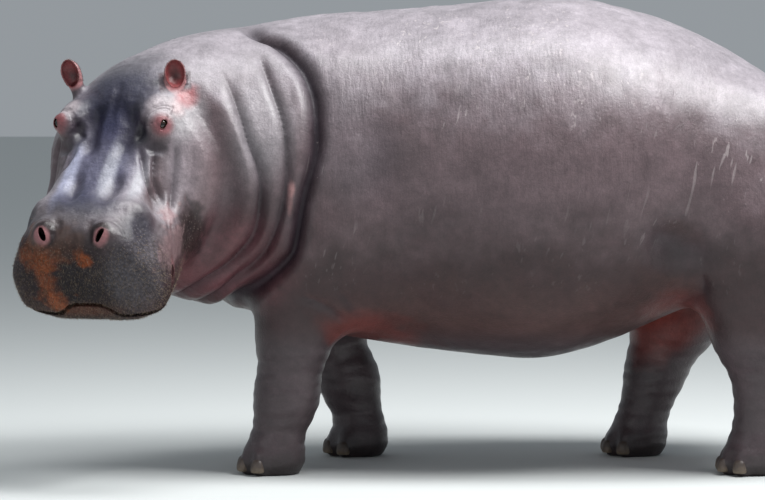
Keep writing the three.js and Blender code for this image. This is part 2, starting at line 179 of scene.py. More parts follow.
@dataclass(frozen=True)
class Boxy:
    """A box-like ellipsoid: the larger an exponent, the squarer its outline from above and from the side."""

    centre: Point
    radii: Point
    plan: float
    side: float

    def __call__(self, p: Array) -> Array:
        """Measures how far each point is outside.

        Args:
            p: Points in mm.

        Returns:
            The distances in mm, negative inside.
        """
        q = np.abs((p - np.array(self.centre)) / self.radii)
        level = (q[:, 0] ** self.plan + q[:, 1] ** self.plan) ** (self.side / self.plan)
        return ((level + q[:, 2] ** self.side) ** (1 / self.side) - 1) * min(self.radii)


@dataclass(frozen=True)
class RoundCone:
    """A cone with round ends, each given as x, y, z and radius."""

    start: tuple[float, float, float, float]
    end: tuple[float, float, float, float]

    def __call__(self, p: Array) -> Array:
        """Measures how far each point is outside.

        Args:
            p: Points in mm.

        Returns:
            The distances in mm, negative inside.
        """
        a = np.array(self.start[:3])
        along = np.array(self.end[:3]) - a
        length2 = along @ along
        slope = self.start[3] - self.end[3]
        flat2 = length2 - slope * slope
        q = p - a
        t = q @ along
        beyond = t - length2
        off = q * length2 - along * t[:, None]
        off2 = (off * off).sum(1)
        t2 = t * t * length2
        beyond2 = beyond * beyond * length2
        side = math.copysign(slope * slope, slope) * off2
        middle = (np.sqrt(off2 * flat2 / length2) + t * slope) / length2 - self.start[3]
        last = np.sqrt(off2 + beyond2) / length2 - self.end[3]
        first = np.sqrt(off2 + t2) / length2 - self.start[3]
        past_start = np.sign(t) * flat2 * t2 < side
        past_end = np.sign(beyond) * flat2 * beyond2 > side
        return np.where(past_end, last, np.where(past_start, first, middle))


def chained(joints: Sequence[Sequence[float]]) -> list[Field]:
    """Links each joint (x, y, z, radius) to the next with a round cone."""
    return [RoundCone(tuple(a), tuple(b)) for a, b in zip(joints, joints[1:])]


@dataclass(frozen=True)
class Joined:
    """Several shapes with a fillet of about the size of blend between them."""

    blend: float
    parts: Sequence[Field]

    def __call__(self, p: Array) -> Array:
        """Measures how far each point is outside.

        Args:
            p: Points in mm.

        Returns:
            The distances in mm, negative inside.
        """
        near = self.parts[0](p)
        for part in self.parts[1:]:
            other = part(p)
            h = np.maximum(self.blend - np.abs(near - other), 0) / self.blend
            near = np.minimum(near, other) - h * h * self.blend / 4
        return near


@dataclass(frozen=True)
class Carved:
    """A shape less another, with the edge between them rounded."""

    blend: float
    body: Field
    tool: Field

    def __call__(self, p: Array) -> Array:
        """Measures how far each point is outside.

        Args:
            p: Points in mm.

        Returns:
            The distances in mm, negative inside.
        """
        body = self.body(p)
        kept = -self.tool(p)
        h = np.maximum(self.blend - np.abs(body - kept), 0) / self.blend
        return np.maximum(body, kept) + h * h * self.blend / 4


@dataclass(frozen=True)
class Placed:
    """A shape given in a frame of its own."""

    place: Array
    part: Field

    def __call__(self, p: Array) -> Array:
        """Measures how far each point is outside."""
        return self.part(carried(np.linalg.inv(self.place), p))


@dataclass(frozen=True)
class Mirrored:
    """A shape on the left and its mirror image on the right."""

    part: Field

    def __call__(self, p: Array) -> Array:
        """Measures how far each point is outside."""
        return self.part(p * [1, 0, 1] + np.abs(p) * [0, 1, 0])


@dataclass(frozen=True)
class Within:
    """A shape that is worked out only inside a box, to save time."""

    low: Point
    high: Point
    part: Field

    def __call__(self, p: Array) -> Array:
        """Measures how far each point is outside, if it is in the box.

        Args:
            p: Points in mm.

        Returns:
            The distances in mm, or far away for points beyond the box.
        """
        inside = ((p > self.low) & (p < self.high)).all(1)
        found = np.full(len(p), FAR_AWAY)
        if inside.any():
            found[inside] = self.part(p[inside])
        return found


# ---------------- the head


@dataclass(frozen=True)
class Ear:
    """A round fleshy cup that opens forward, standing on the back of the head."""

    side: int  # 1 on the left, -1 on the right
    root: Point  # the middle of its base
    lean: float
    open: float
    height: float = 104.0
    width: float = 78.0
    wall: float = 15.0
    tilt: float = 30.0

    @property
    def frame(self) -> Array:
        """The ear's frame within the head's: opening along X, tip along Z."""
        turn = turned(0, -self.side * self.lean) @ turned(1, -self.tilt) @ turned(2, self.side * self.open)
        return moved(*self.root) @ turn

    def shape(self) -> Field:
        """Makes the cup, its rim rounded and its hollow funnelled.

        Returns:
            The ear in the head's frame.
        """
        half = self.height / 2
        cup = Ellipsoid((0, 0, half + 6), (self.width * 0.32, self.width / 2, half))
        stalk = RoundCone((0, 0, -35, 29), (0, 0, half * 0.6, 25))
        bowl = Ellipsoid((20, 0, half + 12), (26, self.width / 2 - self.wall + 3, half - self.wall + 3))
        funnel = RoundCone((18, 0, half - 12, 12), (2, 0, half - 30, 6))
        return Placed(self.frame, Carved(7, Joined(16, [cup, stalk]), Joined(8, [bowl, funnel])))


@dataclass(frozen=True)
class Head:
    """The head, in its own frame: forward along X, left along Y and up along Z, between the eyes."""

    origin: Point = (-1384, -500, 1099)
    turn: float = 72.0
    pitch: float = 40.0
    eye: Point = (-6, 160, 8)
    eye_radius: float = 28.0
    gaze: Point = (0.66, 0.56, 0.50)  # the way the left eye looks
    lid_corner: Point = (0.85, -0.30, -0.42)  # from the middle of its lids to their front corner
    nostril: Point = (440, 98, -44)
    nostril_slit: Point = (20, 6.5, 26)  # half its length, width and depth
    nostril_slope: float = 32.0
    nostril_slant: float = -25.0
    ears: tuple[Ear, Ear] = (Ear(1, (-137, 174, 22), 2, 22), Ear(-1, (-155, -158, 8), 22, -5))
    # Where the lips meet on the head's sides: forward and up. In front they meet higher.
    mouth_forward: tuple[float, ...] = (160, 204, 263, 300, 340, 380, 420, 640)
    mouth_up: tuple[float, ...] = (-128, -138, -158, -185, -225, -272, -312, -322)
    mouth_front: float = -276
    slit_end: float = 362  # behind here the lips touch, and only a fold shows
    lip_gap: float = 8.6

    @property
    def frame(self) -> Array:
        """The head's frame within the animal's.

        Returns:
            A 4x4 matrix.
        """
        turn = math.radians(self.turn)
        pitch = math.radians(self.pitch)
        ahead = np.array([-math.cos(turn), -math.sin(turn), 0.0])
        rise = np.array([0.0, 0.0, 1.0])
        forward = ahead * math.cos(pitch) - rise * math.sin(pitch)
        up = ahead * math.sin(pitch) + rise * math.cos(pitch)
        made = np.eye(4)
        made[:3, 0] = forward
        made[:3, 1] = np.cross(up, forward)
        made[:3, 2] = up
        made[:3, 3] = self.origin
        return made

    def bones(self) -> Field:
        """Makes the skull, the snout's front, the lower jaw and the mounds of the eyes and nostrils.

        Returns:
            The head without lids, holes or ears.
        """
        brain_case = Ellipsoid((-120, 0, -95), (175, 178, 122))
        temples = Mirrored(Ellipsoid((-50, 136, -150), (160, 90, 130)))
        jowls = Mirrored(Ellipsoid((-130, 150, -240), (165, 108, 165)))
        cheeks = Mirrored(RoundCone((-10, 150, -140, 70), (240, 172, -215, 62)))
        bridge = RoundCone((-40, 0, -108, 104), (320, 0, -140, 104))
        ridges = Mirrored(RoundCone((20, 84, -82, 50), (300, 118, -92, 56)))
        skull = Joined(60, [brain_case, temples, jowls, cheeks, bridge, ridges])

        upper_lip = Boxy((385, 0, -185), (120, 216, 180), 5, 2.7)
        whisker_pads = Mirrored(Boxy((350, 146, -242), (150, 98, 110), 5, 3.2))
        muzzle = Joined(30, [upper_lip, whisker_pads])

        chin = Boxy((360, 0, -296), (130, 176, 96), 4, 2.8)
        jaw_bones = Mirrored(RoundCone((310, 105, -290, 84), (-60, 135, -290, 100)))
        mouth_floor = Ellipsoid((60, 0, -290), (320, 130, 100))
        jaw = Joined(50, [chin, jaw_bones, mouth_floor])

        eye_mounds = Mirrored(Ellipsoid((-38, 137, -14), (80, 58, 56)))
        nostril_mounds = Mirrored(Ellipsoid((438, 97, -52), (54, 42, 50)))
        return Joined(22, [Joined(50, [skull, muzzle, jaw]), eye_mounds, nostril_mounds])

    def lips(self, p: Array, skin: Array) -> Array:
        """Measures the slit between the lips, which runs a little way into the head from its surface.

        Args:
            p: Points in the head's frame.
            skin: How far each point is outside the head.

        Returns:
            A distance that is negative inside the slit.
        """
        beside = eased(p[:, 0], self.mouth_forward, self.mouth_up)
        aside = ramp(np.abs(p[:, 1]), 44, 112) + ramp(p[:, 0], 470, 400)
        meeting = self.mouth_front + (beside - self.mouth_front) * np.minimum(aside, 1)
        behind_corner = np.maximum(self.slit_end - p[:, 0], 0)
        across = np.hypot(p[:, 2] - meeting, behind_corner)
        return np.maximum(across - self.lip_gap / 2, -(skin + 12 + 28 * ramp(p[:, 0], 370, 440)))

    def dressed(self, p: Array, flesh: Array) -> Array:
        """Adds the lids, mouth, eye sockets, nostrils and ears to the animal's flesh.

        Args:
            p: Points in the head's frame.
            flesh: How far each point is outside the flesh.

        Returns:
            How far each point is outside the finished head.
        """
        ex, ey, ez = self.eye
        nx, ny, nz = self.nostril
        corner = np.array(self.lid_corner)
        opening = np.array(self.eye) + np.array(self.gaze) * (self.eye_radius + 5)
        lids = Mirrored(Ellipsoid((ex, ey, ez), (37, 36, 36)))
        socket = Mirrored(Ellipsoid((ex, ey, ez), (self.eye_radius + 0.8,) * 3))
        slit = Mirrored(RoundCone((*(opening - corner * 7), 6.5), (*(opening + corner * 11), 4)))
        slant = turned(1, self.nostril_slope) @ turned(2, self.nostril_slant)
        rim = Placed(moved(nx + 27, ny - 5, nz + 26) @ slant, Ellipsoid((0, 0, 0), self.nostril_slit))
        passage = RoundCone((nx + 14, ny - 8, nz + 10, 7), (nx - 46, ny - 20, nz - 30, 8))
        nostril = Mirrored(Joined(5, [rim, passage]))
        skin = Joined(14, [lambda _: flesh, lids])(p)
        cut = Carved(7, lambda _: skin, lambda q: self.lips(q, skin))(p)
        for blend, hole in ((1.5, socket), (5, slit), (4, nostril)):
            cut = Carved(blend, lambda _, before=cut: before, hole)(p)
        return Joined(16, [lambda _: cut, *(ear.shape() for ear in self.ears)])(p)


# ---------------- the body


@dataclass(frozen=True)
class Trunk:
    """The barrel of the body, through cross-sections along X."""

    exponent: float = 2.25  # how square its cross-sections are: 2 is an ellipse
    end_rounding: float = 40.0
    x: tuple[float, ...] = (-1010, -930, -760, -500, -280, -40, 180, 420, 650, 820, 930, 985)
    top: tuple[float, ...] = (1150, 1330, 1432, 1464, 1484, 1506, 1478, 1400, 1275, 1145, 1020, 930)
    bottom: tuple[float, ...] = (700, 520, 432, 385, 357, 345, 400, 500, 570, 650, 740, 820)
    half: tuple[float, ...] = (150, 330, 440, 520, 572, 600, 580, 520, 450, 350, 230, 100)

    def __call__(self, p: Array) -> Array:
        """Measures how far each point is outside.

        Args:
            p: Points in mm.

        Returns:
            The distances in mm, negative inside.
        """
        x, y, z = p.T
        top = eased(x, self.x, self.top)
        bottom = eased(x, self.x, self.bottom)
        half = eased(x, self.x, self.half)
        height = (top - bottom) / 2
        past = np.maximum(np.maximum(self.x[0] - x, x - self.x[-1]), 0) / self.end_rounding
        aside = np.abs(y / half) ** self.exponent
        rise = np.abs((z - bottom - height) / height) ** self.exponent
        return (np.hypot((aside + rise) ** (1 / self.exponent), past) - 1) * np.minimum(half, height)


@dataclass(frozen=True)
class Leg:
    """A leg and its four-toed foot."""

    name: str
    joints: tuple[tuple[float, float, float, float], ...]
    foot: tuple[float, float]
    toe_angles: tuple[float, ...] = (-62, -21, 21, 62)
    pad: Point = (94, 94, 62)
    pad_height: float = 42.0
    toe_reach: float = 76.0
    toe_height: float = 35.0
    toe: Point = (40, 31, 39)

    def shape(self) -> Field:
        """Makes the leg.

        Returns:
            The leg in the animal's frame.
        """
        x, y = self.foot
        toes = []
        for angle in self.toe_angles:
            a = math.radians(angle)
            centre = (x - math.cos(a) * self.toe_reach, y + math.sin(a) * self.toe_reach, self.toe_height)
            toes.append(Ellipsoid(centre, self.toe, -angle))
        sole = Joined(20, [Ellipsoid((x, y, self.pad_height), self.pad), *toes])
        leg = Joined(60, [*chained(self.joints), sole])
        reach = np.array([q[:2] for q in self.joints] + [self.foot])
        low = (*(reach.min(0) - 330), -80.0)
        high = (*(reach.max(0) + 330), 1180.0)
        return Within(low, high, leg)


@dataclass(frozen=True)
class Body:
    """The whole animal's flesh, from its muzzle to its tail."""

    head: Head = Head()
    trunk: Trunk = Trunk()
    neck: tuple[Ellipsoid, ...] = (
        Ellipsoid((-850, -20, 945), (330, 430, 450), 10),
        Ellipsoid((-1030, -85, 965), (270, 405, 425), 32),
        Ellipsoid((-1160, -200, 985), (240, 330, 375), 52),
        Ellipsoid((-1255, -310, 985), (220, 280, 320), 66),
    )
    throat: Ellipsoid = Ellipsoid((-1110, -200, 730), (230, 210, 160), 45)
    muscles: tuple[Ellipsoid, ...] = (
        Ellipsoid((-690, -300, 880), (230, 175, 400)),
        Ellipsoid((-650, 300, 880), (230, 175, 400)),
        Ellipsoid((650, -285, 830), (290, 200, 380)),
        Ellipsoid((590, 285, 830), (290, 200, 380)),
    )
    legs: tuple[Leg, ...] = (
        Leg(
            "front_left",
            ((-765, -290, 730, 205), (-830, -285, 440, 114), (-852, -275, 250, 93), (-886, -270, 100, 86)),
            (-895, -270),
        ),
        Leg(
            "front_right",
            ((-760, 290, 730, 205), (-738, 288, 440, 114), (-662, 275, 250, 90), (-624, 268, 100, 82)),
            (-632, 268),
        ),
        Leg(
            "hind_left",
            ((640, -290, 760, 240), (630, -300, 480, 155), (655, -286, 275, 92), (625, -280, 105, 88)),
            (612, -280),
        ),
        Leg(
            "hind_right",
            ((530, 290, 760, 235), (410, 300, 480, 150), (340, 286, 275, 90), (292, 278, 105, 86)),
            (278, 278),
        ),
    )
    tail: tuple[tuple[float, float, float, float], ...] = (
        (880, 0, 1085, 74),
        (985, 0, 985, 54),
        (1020, 0, 860, 38),
        (1015, 0, 735, 28),
    )
    head_room: tuple[Point, Point] = ((-1900, -1250, 380), (-820, 60, 1560))

    def closed(self) -> Field:
        """Makes the animal without its lids, ears and holes.

        Returns:
            Its field.
        """
        flesh = Joined(140, [self.trunk, *self.muscles, *self.neck, self.throat])
        head = Within(*self.head_room, Placed(self.head.frame, self.head.bones()))
        tail = Within((720, -200, 600), (1200, 200, 1250), Joined(20, chained(self.tail)))
        upper = Joined(110, [flesh, head])
        animal = Joined(70, [upper, *(leg.shape() for leg in self.legs)])
        return Joined(26, [animal, tail])

    def shape(self) -> Field:
        """Makes the animal.

        Returns:
            The field of all its flesh, which ends in flat soles at Z 0.
        """
        closed = self.closed()
        low, high = self.head_room
        to_head = np.linalg.inv(self.head.frame)

        def with_face(p: Array) -> Array:
            """Measures how far each point is outside the animal, lids, mouth and ears included.

            Args:
                p: Points in mm.

            Returns:
                The distances in mm.
            """
            found = closed(p)
            near = ((p > low) & (p < high)).all(1) & (np.abs(found) < 220)
            found[near] = self.head.dressed(carried(to_head, p[near]), found[near])
            return found

        return Carved(4, with_face, lambda p: p[:, 2])


# ---------------- meshing a field


@dataclass(frozen=True)
class Zone:
    """A ball inside which the mesh's cells are small."""

    centre: Point
    radius: float
    cell: int  # in lattice steps: 4, 2 or 1


@dataclass
class SkinMesher:
    """Surface nets on cells of three sizes, which meet without a crack.

    Each cell that the surface passes gets one vertex. Each shortest cell edge that crosses the surface gets
    one face, between the cells round it.
    """

    shape: Field
    low: Point
    high: Point
    zones: Sequence[Zone]
    step: float = 2.5  # the lattice, and the smallest cell, in mm
    block: int = 8  # lattice steps across a block of like cells
    coarse: int = 4  # lattice steps across the largest cell
    chunk: int = 400_000  # points worked out at a time

    def measure(self, p: Array) -> Array:
        """Works out the field in chunks, to save memory."""
        return np.concatenate([self.shape(p[i : i + self.chunk]) for i in range(0, len(p), self.chunk)])

    def at(self, lattice: Array) -> Array:
        """Gives lattice points their places in mm."""
        return lattice * self.step + np.array(self.low)

    def key(self, lattice: Array) -> Array:
        """Gives each lattice point a number of its own."""
        q = lattice.astype(np.int64) + 64
        return (q[:, 0] << 42) | (q[:, 1] << 21) | q[:, 2]

    def near(self, corner: Array, size: int, reach: float) -> Array:
        """Keeps the cubes that the surface may pass.

        Args:
            corner: Each cube's lowest lattice point.
            size: The cubes' size in lattice steps.
            reach: How far from the surface a cube's middle may be, as a multiple of the size.

        Returns:
            The kept cubes' lowest lattice points.
        """
        middle = self.at(corner + size / 2)
        return corner[np.abs(self.measure(middle)) < reach * size * self.step]

    def split(self, corner: Array, size: int, into: int) -> Array:
        """Cuts cubes into smaller ones.

        Args:
            corner: Each cube's lowest lattice point.
            size: The cubes' size in lattice steps.
            into: The smaller cubes' size.

        Returns:
            The smaller cubes' lowest lattice points.
        """
        n = size // into
        offsets = np.stack(np.meshgrid(*[np.arange(n) * into] * 3, indexing="ij"), -1).reshape(-1, 3)
        return (corner[:, None] + offsets).reshape(-1, 3)

    def cell_size(self, lattice: Array) -> Array:
        """Says how large the cells are at each place, which is alike all over a block.

        Args:
            lattice: Places in lattice steps.

        Returns:
            The cells' sizes in lattice steps.
        """
        middle = self.at((np.floor(lattice / self.block) + 0.5) * self.block)
        size = np.full(len(lattice), self.coarse)
        for zone in self.zones:
            inside = ((middle - np.array(zone.centre)) ** 2).sum(1) < zone.radius**2
            size[inside] = np.minimum(size[inside], zone.cell)
        return size

    def cells(self) -> list[tuple[int, Array]]:
        """Finds the cells near the surface.

        Returns:
            For each size, the cells' lowest lattice points.
        """
        whole = 32
        counts = np.ceil((np.array(self.high) - self.low) / (self.step * whole)).astype(int)
        cubes = np.stack(np.meshgrid(*[np.arange(n) for n in counts], indexing="ij"), -1)
        cubes = self.near(cubes.reshape(-1, 3) * whole, whole, 1.7)
        blocks = self.near(self.split(cubes, whole, self.block), self.block, 1.2)
        size = self.cell_size(blocks)
        found = []
        for cell in sorted(set(size.tolist())):
            own = self.split(blocks[size == cell], self.block, self.coarse)
            if cell < self.coarse:
                own = self.split(self.near(own, self.coarse, 1.1), self.coarse, cell)
            found.append((cell, own))
        return found

    def passed(self, corner: Array, cell: int) -> Array:
        """Keeps the cells that have corners on both sides of the surface.

        Args:
            corner: Each cell's lowest lattice point.
            cell: The cells' size in lattice steps.

        Returns:
            The kept cells' lowest lattice points.
        """
        offsets = np.array([(i, j, k) for i in (0, cell) for j in (0, cell) for k in (0, cell)])
        places = (corner[:, None] + offsets).reshape(-1, 3)
        _, first, where = np.unique(self.key(places), return_index=True, return_inverse=True)
        inside = (self.measure(self.at(places[first])) < 0)[where].reshape(-1, 8)
        return corner[inside.any(1) & ~inside.all(1)]

    def edges(self) -> tuple[Array, Array, Array]:
        """Finds every cell edge near the surface.

        Returns:
            Each such edge's start, direction axis and length, in lattice steps.
        """
        starts, axes, sizes = [], [], []
        for cell, corner in self.cells():
            corner = self.passed(corner, cell)
            for axis in range(3):
                a, b = [i for i in range(3) if i != axis]
                for i, j in ((0, 0), (0, cell), (cell, 0), (cell, cell)):
                    start = corner.copy()
                    start[:, a] += i
                    start[:, b] += j
                    starts.append(start)
                    axes.append(np.full(len(start), axis))
                    sizes.append(np.full(len(start), cell))
        start = np.concatenate(starts)
        axis = np.concatenate(axes)
        size = np.concatenate(sizes)
        _, first = np.unique(self.key(start) * 16 + axis * 4 + size // 2, return_index=True)
        return start[first], axis[first], size[first]

    def build(self) -> tuple[Array, list[Array]]:
        """Meshes the field.

        Returns:
            The vertices in mm, and the faces as an array of triangles and one of quads.
        """
        start, axis, size = self.edges()
        end = start.copy()
        end[np.arange(len(end)), axis] += size
        corners, where = np.unique(self.key(np.concatenate([start, end])), return_inverse=True)
        places = np.zeros((len(corners), 3))
        places[where] = np.concatenate([start, end])
        value = self.measure(self.at(places))
        before, after = value[where[: len(start)]], value[where[len(start) :]]
        crossing = (before < 0) != (after < 0)
        start, axis, size = start[crossing], axis[crossing], size[crossing]
        before, after = before[crossing], after[crossing]

        # The four cells round each edge, in order.
        ring = np.array([(-1, -1), (1, -1), (1, 1), (-1, 1)]) * 0.5
        across = np.array([(1, 2), (2, 0), (0, 1)])[axis]
        owners, owner_sizes = [], []
        for da, db in ring:
            place = start.astype(float)
            rows = np.arange(len(start))
            place[rows, axis] += size / 2
            place[rows, across[:, 0]] += da
            place[rows, across[:, 1]] += db
            cell = self.cell_size(place)
            owners.append(np.floor(place / cell[:, None]).astype(np.int64) * cell[:, None])
            owner_sizes.append(cell)
        shortest = (np.stack(owner_sizes, 1) >= size[:, None]).all(1)
        owners = [o[shortest] for o in owners]
        start, axis, size = start[shortest], axis[shortest], size[shortest]
        before, after = before[shortest], after[shortest]

        crossing_at = start.astype(float)
        crossing_at[np.arange(len(start)), axis] += size * before / (before - after)
        keys, vertex = np.unique(self.key(np.concatenate(owners)), return_inverse=True)
        total = np.stack([np.bincount(vertex, np.tile(c, 4), len(keys)) for c in crossing_at.T], 1)
        vertices = self.at(total / np.bincount(vertex, minlength=len(keys))[:, None])

        rings = vertex.reshape(4, -1).T
        rings = np.where((before < 0)[:, None], rings, rings[:, ::-1])
        alike = rings == np.roll(rings, -1, 1)
        quads = rings[alike.sum(1) == 0]
        odd = rings[alike.sum(1) == 1]
        kept = ~alike[alike.sum(1) == 1]
        return vertices, [odd[kept].reshape(-1, 3), quads]

    def slope(self, p: Array, value: Array | None = None) -> Array:
        """Works out the field's slope by small steps along the axes.

        Args:
            p: Points in mm.
            value: The field there, if it is known.

        Returns:
            A vector for each point.
        """
        value = self.measure(p) if value is None else value
        tiny = 0.5
        return np.stack([(self.measure(p + tiny * axis) - value) / tiny for axis in np.eye(3)], 1)

    def settle(self, vertices: Array, faces: list[Array], rounds: int) -> Array:
        """Evens the mesh out and brings it back onto the surface, a few times.

        Args:
            vertices: The vertices in mm.
            faces: Triangles and quads.
            rounds: How many times.

        Returns:
            The vertices' new places.
        """
        pairs = np.concatenate([np.stack([f, np.roll(f, -1, 1)], 2).reshape(-1, 2) for f in faces])
        count = np.bincount(pairs[:, 0], minlength=len(vertices))[:, None]
        for n in range(rounds + 1):
            if n:
                total = [np.bincount(pairs[:, 0], v[pairs[:, 1]], len(vertices)) for v in vertices.T]
                mean = np.stack(total, 1)
                shift = mean / count - vertices
                away = slope / np.linalg.norm(slope, axis=1, keepdims=True)
                vertices = vertices + 0.5 * (shift - away * (shift * away).sum(1, keepdims=True))
            value = self.measure(vertices)
            if n != 2:
                slope = self.slope(vertices, value)
            steep2 = np.maximum((slope * slope).sum(1), 0.05)
            move = -slope * (value / steep2)[:, None]
            length = np.linalg.norm(move, axis=1, keepdims=True)
            vertices = vertices + move * np.minimum(1, 6 / np.maximum(length, 1e-9))
        return vertices


# ---------------- folds and wrinkles


def lattice_noise(p: Array, grain: Sequence[float], seed: int) -> Array:
    """Makes smooth random lumps.

    Args:
        p: Points in mm.
        grain: The lumps' size in mm along each axis.
        seed: Which of the many patterns.

    Returns:
        A value from -1 to 1 at each point.
    """
    q = p / np.array(grain, float)
    cell = np.floor(q).astype(np.int64)
    t = q - cell
    t = t * t * (3 - 2 * t)
    total = np.zeros(len(p))
    for corner in np.ndindex(2, 2, 2):
        c = cell + corner
        mixed = c[:, 0] * 374761393 + c[:, 1] * 668265263 + c[:, 2] * 2147483647 + seed * 1274126177
        mixed = ((mixed ^ (mixed >> 13)) * 1103515245) & 0x7FFFFFFF
        mixed = ((mixed ^ (mixed >> 16)) * 69069) & 0xFFFFF
        share = np.where(corner, t, 1 - t).prod(1)
        total += share * (mixed / 0x7FFFF - 1)
    return total


class Profile(Enum):
    """How the skin sinks towards the middle of a furrow."""

    ROLL = "two round rolls that meet in a sharp valley"
    CREASE = "a narrow line"
    HOLLOW = "a shallow dip"

    @property
    def shade(self) -> float:
        """How much painted shade it gets for its depth."""
        return {Profile.ROLL: 1.0, Profile.CREASE: 3.0, Profile.HOLLOW: 0.45}[self]


@dataclass(frozen=True)
class Furrow:
    """A valley in the skin along a curve."""

    path: tuple[Point, ...]
    width: float  # to the right of the path, seen from outside, and also to its left unless left is set
    depth: float
    profile: Profile = Profile.ROLL
    left: float | None = None
    floor: float = 0.0  # how wide its bottom is, to the left of the path
    rounding: float = 4.0  # of its deepest line
    taper: float = 90.0  # how long its ends take to fade out
    on_head: bool = False  # given in the head's frame, and on both sides

    def drop(self, t: Array) -> Array:
        """Says how deep the furrow is across its width.

        Args:
            t: Where to ask, from 0 in its middle to 1 at its edge.

        Returns:
            The depth, from 1 in the middle to 0 at the edge.
        """
        t = np.clip(t, 0, 1)
        if self.profile is Profile.ROLL:
            return 1 - (1 - (1 - t) ** 2) ** 0.55
        if self.profile is Profile.CREASE:
            return (1 - t) ** 1.6
        return 1 - ramp(t, 0, 1)

    def curves(self, head: Array, step: float = 6.0) -> list[Array]:
        """Draws the furrow's smooth path in the animal's frame, and its mirror image if it is on the head.

        Args:
            head: The head's frame.
            step: The distance between the path's points in mm.

        Returns:
            The points of each copy.
        """
        path = np.array(self.path, float)
        along = np.concatenate([[0], np.cumsum(np.linalg.norm(np.diff(path, axis=0), axis=1))])
        at = np.linspace(0, along[-1], max(int(along[-1] / step), 4))
        curve = np.stack([eased(at, along, c) for c in path.T], 1)
        if not self.on_head:
            return [curve]
        return [carried(head, curve), carried(head, (curve * [1, -1, 1])[::-1])]

    def sink(self, p: Array, outward: Array, curve: Array) -> tuple[Array, Array]:
        """Works out how far the furrow sinks the skin.

        Args:
            p: Points on the skin in mm.
            outward: The skin's normals there.
            curve: The furrow's path on the skin.

        Returns:
            The numbers of the points that it reaches and how far each sinks.
        """
        left = self.width if self.left is None else self.left
        reach = max(self.width, left + self.floor)
        near = np.flatnonzero(((p > curve.min(0) - reach) & (p < curve.max(0) + reach)).all(1))
        tangent = np.gradient(curve, axis=0)
        tangent /= np.linalg.norm(tangent, axis=1, keepdims=True)
        along = np.concatenate([[0], np.cumsum(np.linalg.norm(np.diff(curve, axis=0), axis=1))])
        deep = np.zeros(len(near))
        for i in range(0, len(near), 20_000):
            own = near[i : i + 20_000]
            gaps = ((p[own, None] - curve[None]) ** 2).sum(2)
            closest = gaps.argmin(1)
            off = p[own] - curve[closest]
            ahead = (off * tangent[closest]).sum(1)
            inner = (closest > 0) & (closest < len(curve) - 1)
            across = off - tangent[closest] * np.where(inner, ahead, 0)[:, None]
            distance = np.hypot(np.linalg.norm(across, axis=1), self.rounding)
            side = (across * np.cross(tangent[closest], outward[own])).sum(1)
            to_left = np.hypot(np.maximum(distance - self.floor, 0), self.rounding) / left
            t = np.where(side > 0, distance / self.width, to_left)
            place = along[closest] + ahead
            taper = ramp(place, 0, self.taper) * ramp(along[-1] - place, 0, self.taper)
            deep[i : i + 20_000] = self.depth * self.drop(t) * taper
        return near, deep


def ring(centre: Point, axis: Point, radius: float, start: float, end: float) -> tuple[Point, ...]:
    """Draws an arc round an axis.

    Args:
        centre: The circle's middle.
        axis: The way that the circle faces.
        radius: Its radius in mm.
        start: The first point's angle in degrees, from the way that points most upward.
        end: The last point's angle.

    Returns:
        Points along the arc.
    """
    facing = Vector(axis).normalized()
    upward = (Vector((0, 0, 1)) - facing * facing.z).normalized()
    across = facing.cross(upward)
    angles = [math.radians(start + (end - start) * i / 14) for i in range(15)]
    ways = [upward * math.cos(a) + across * math.sin(a) for a in angles]
    return tuple(tuple(Vector(centre) + way * radius) for way in ways)


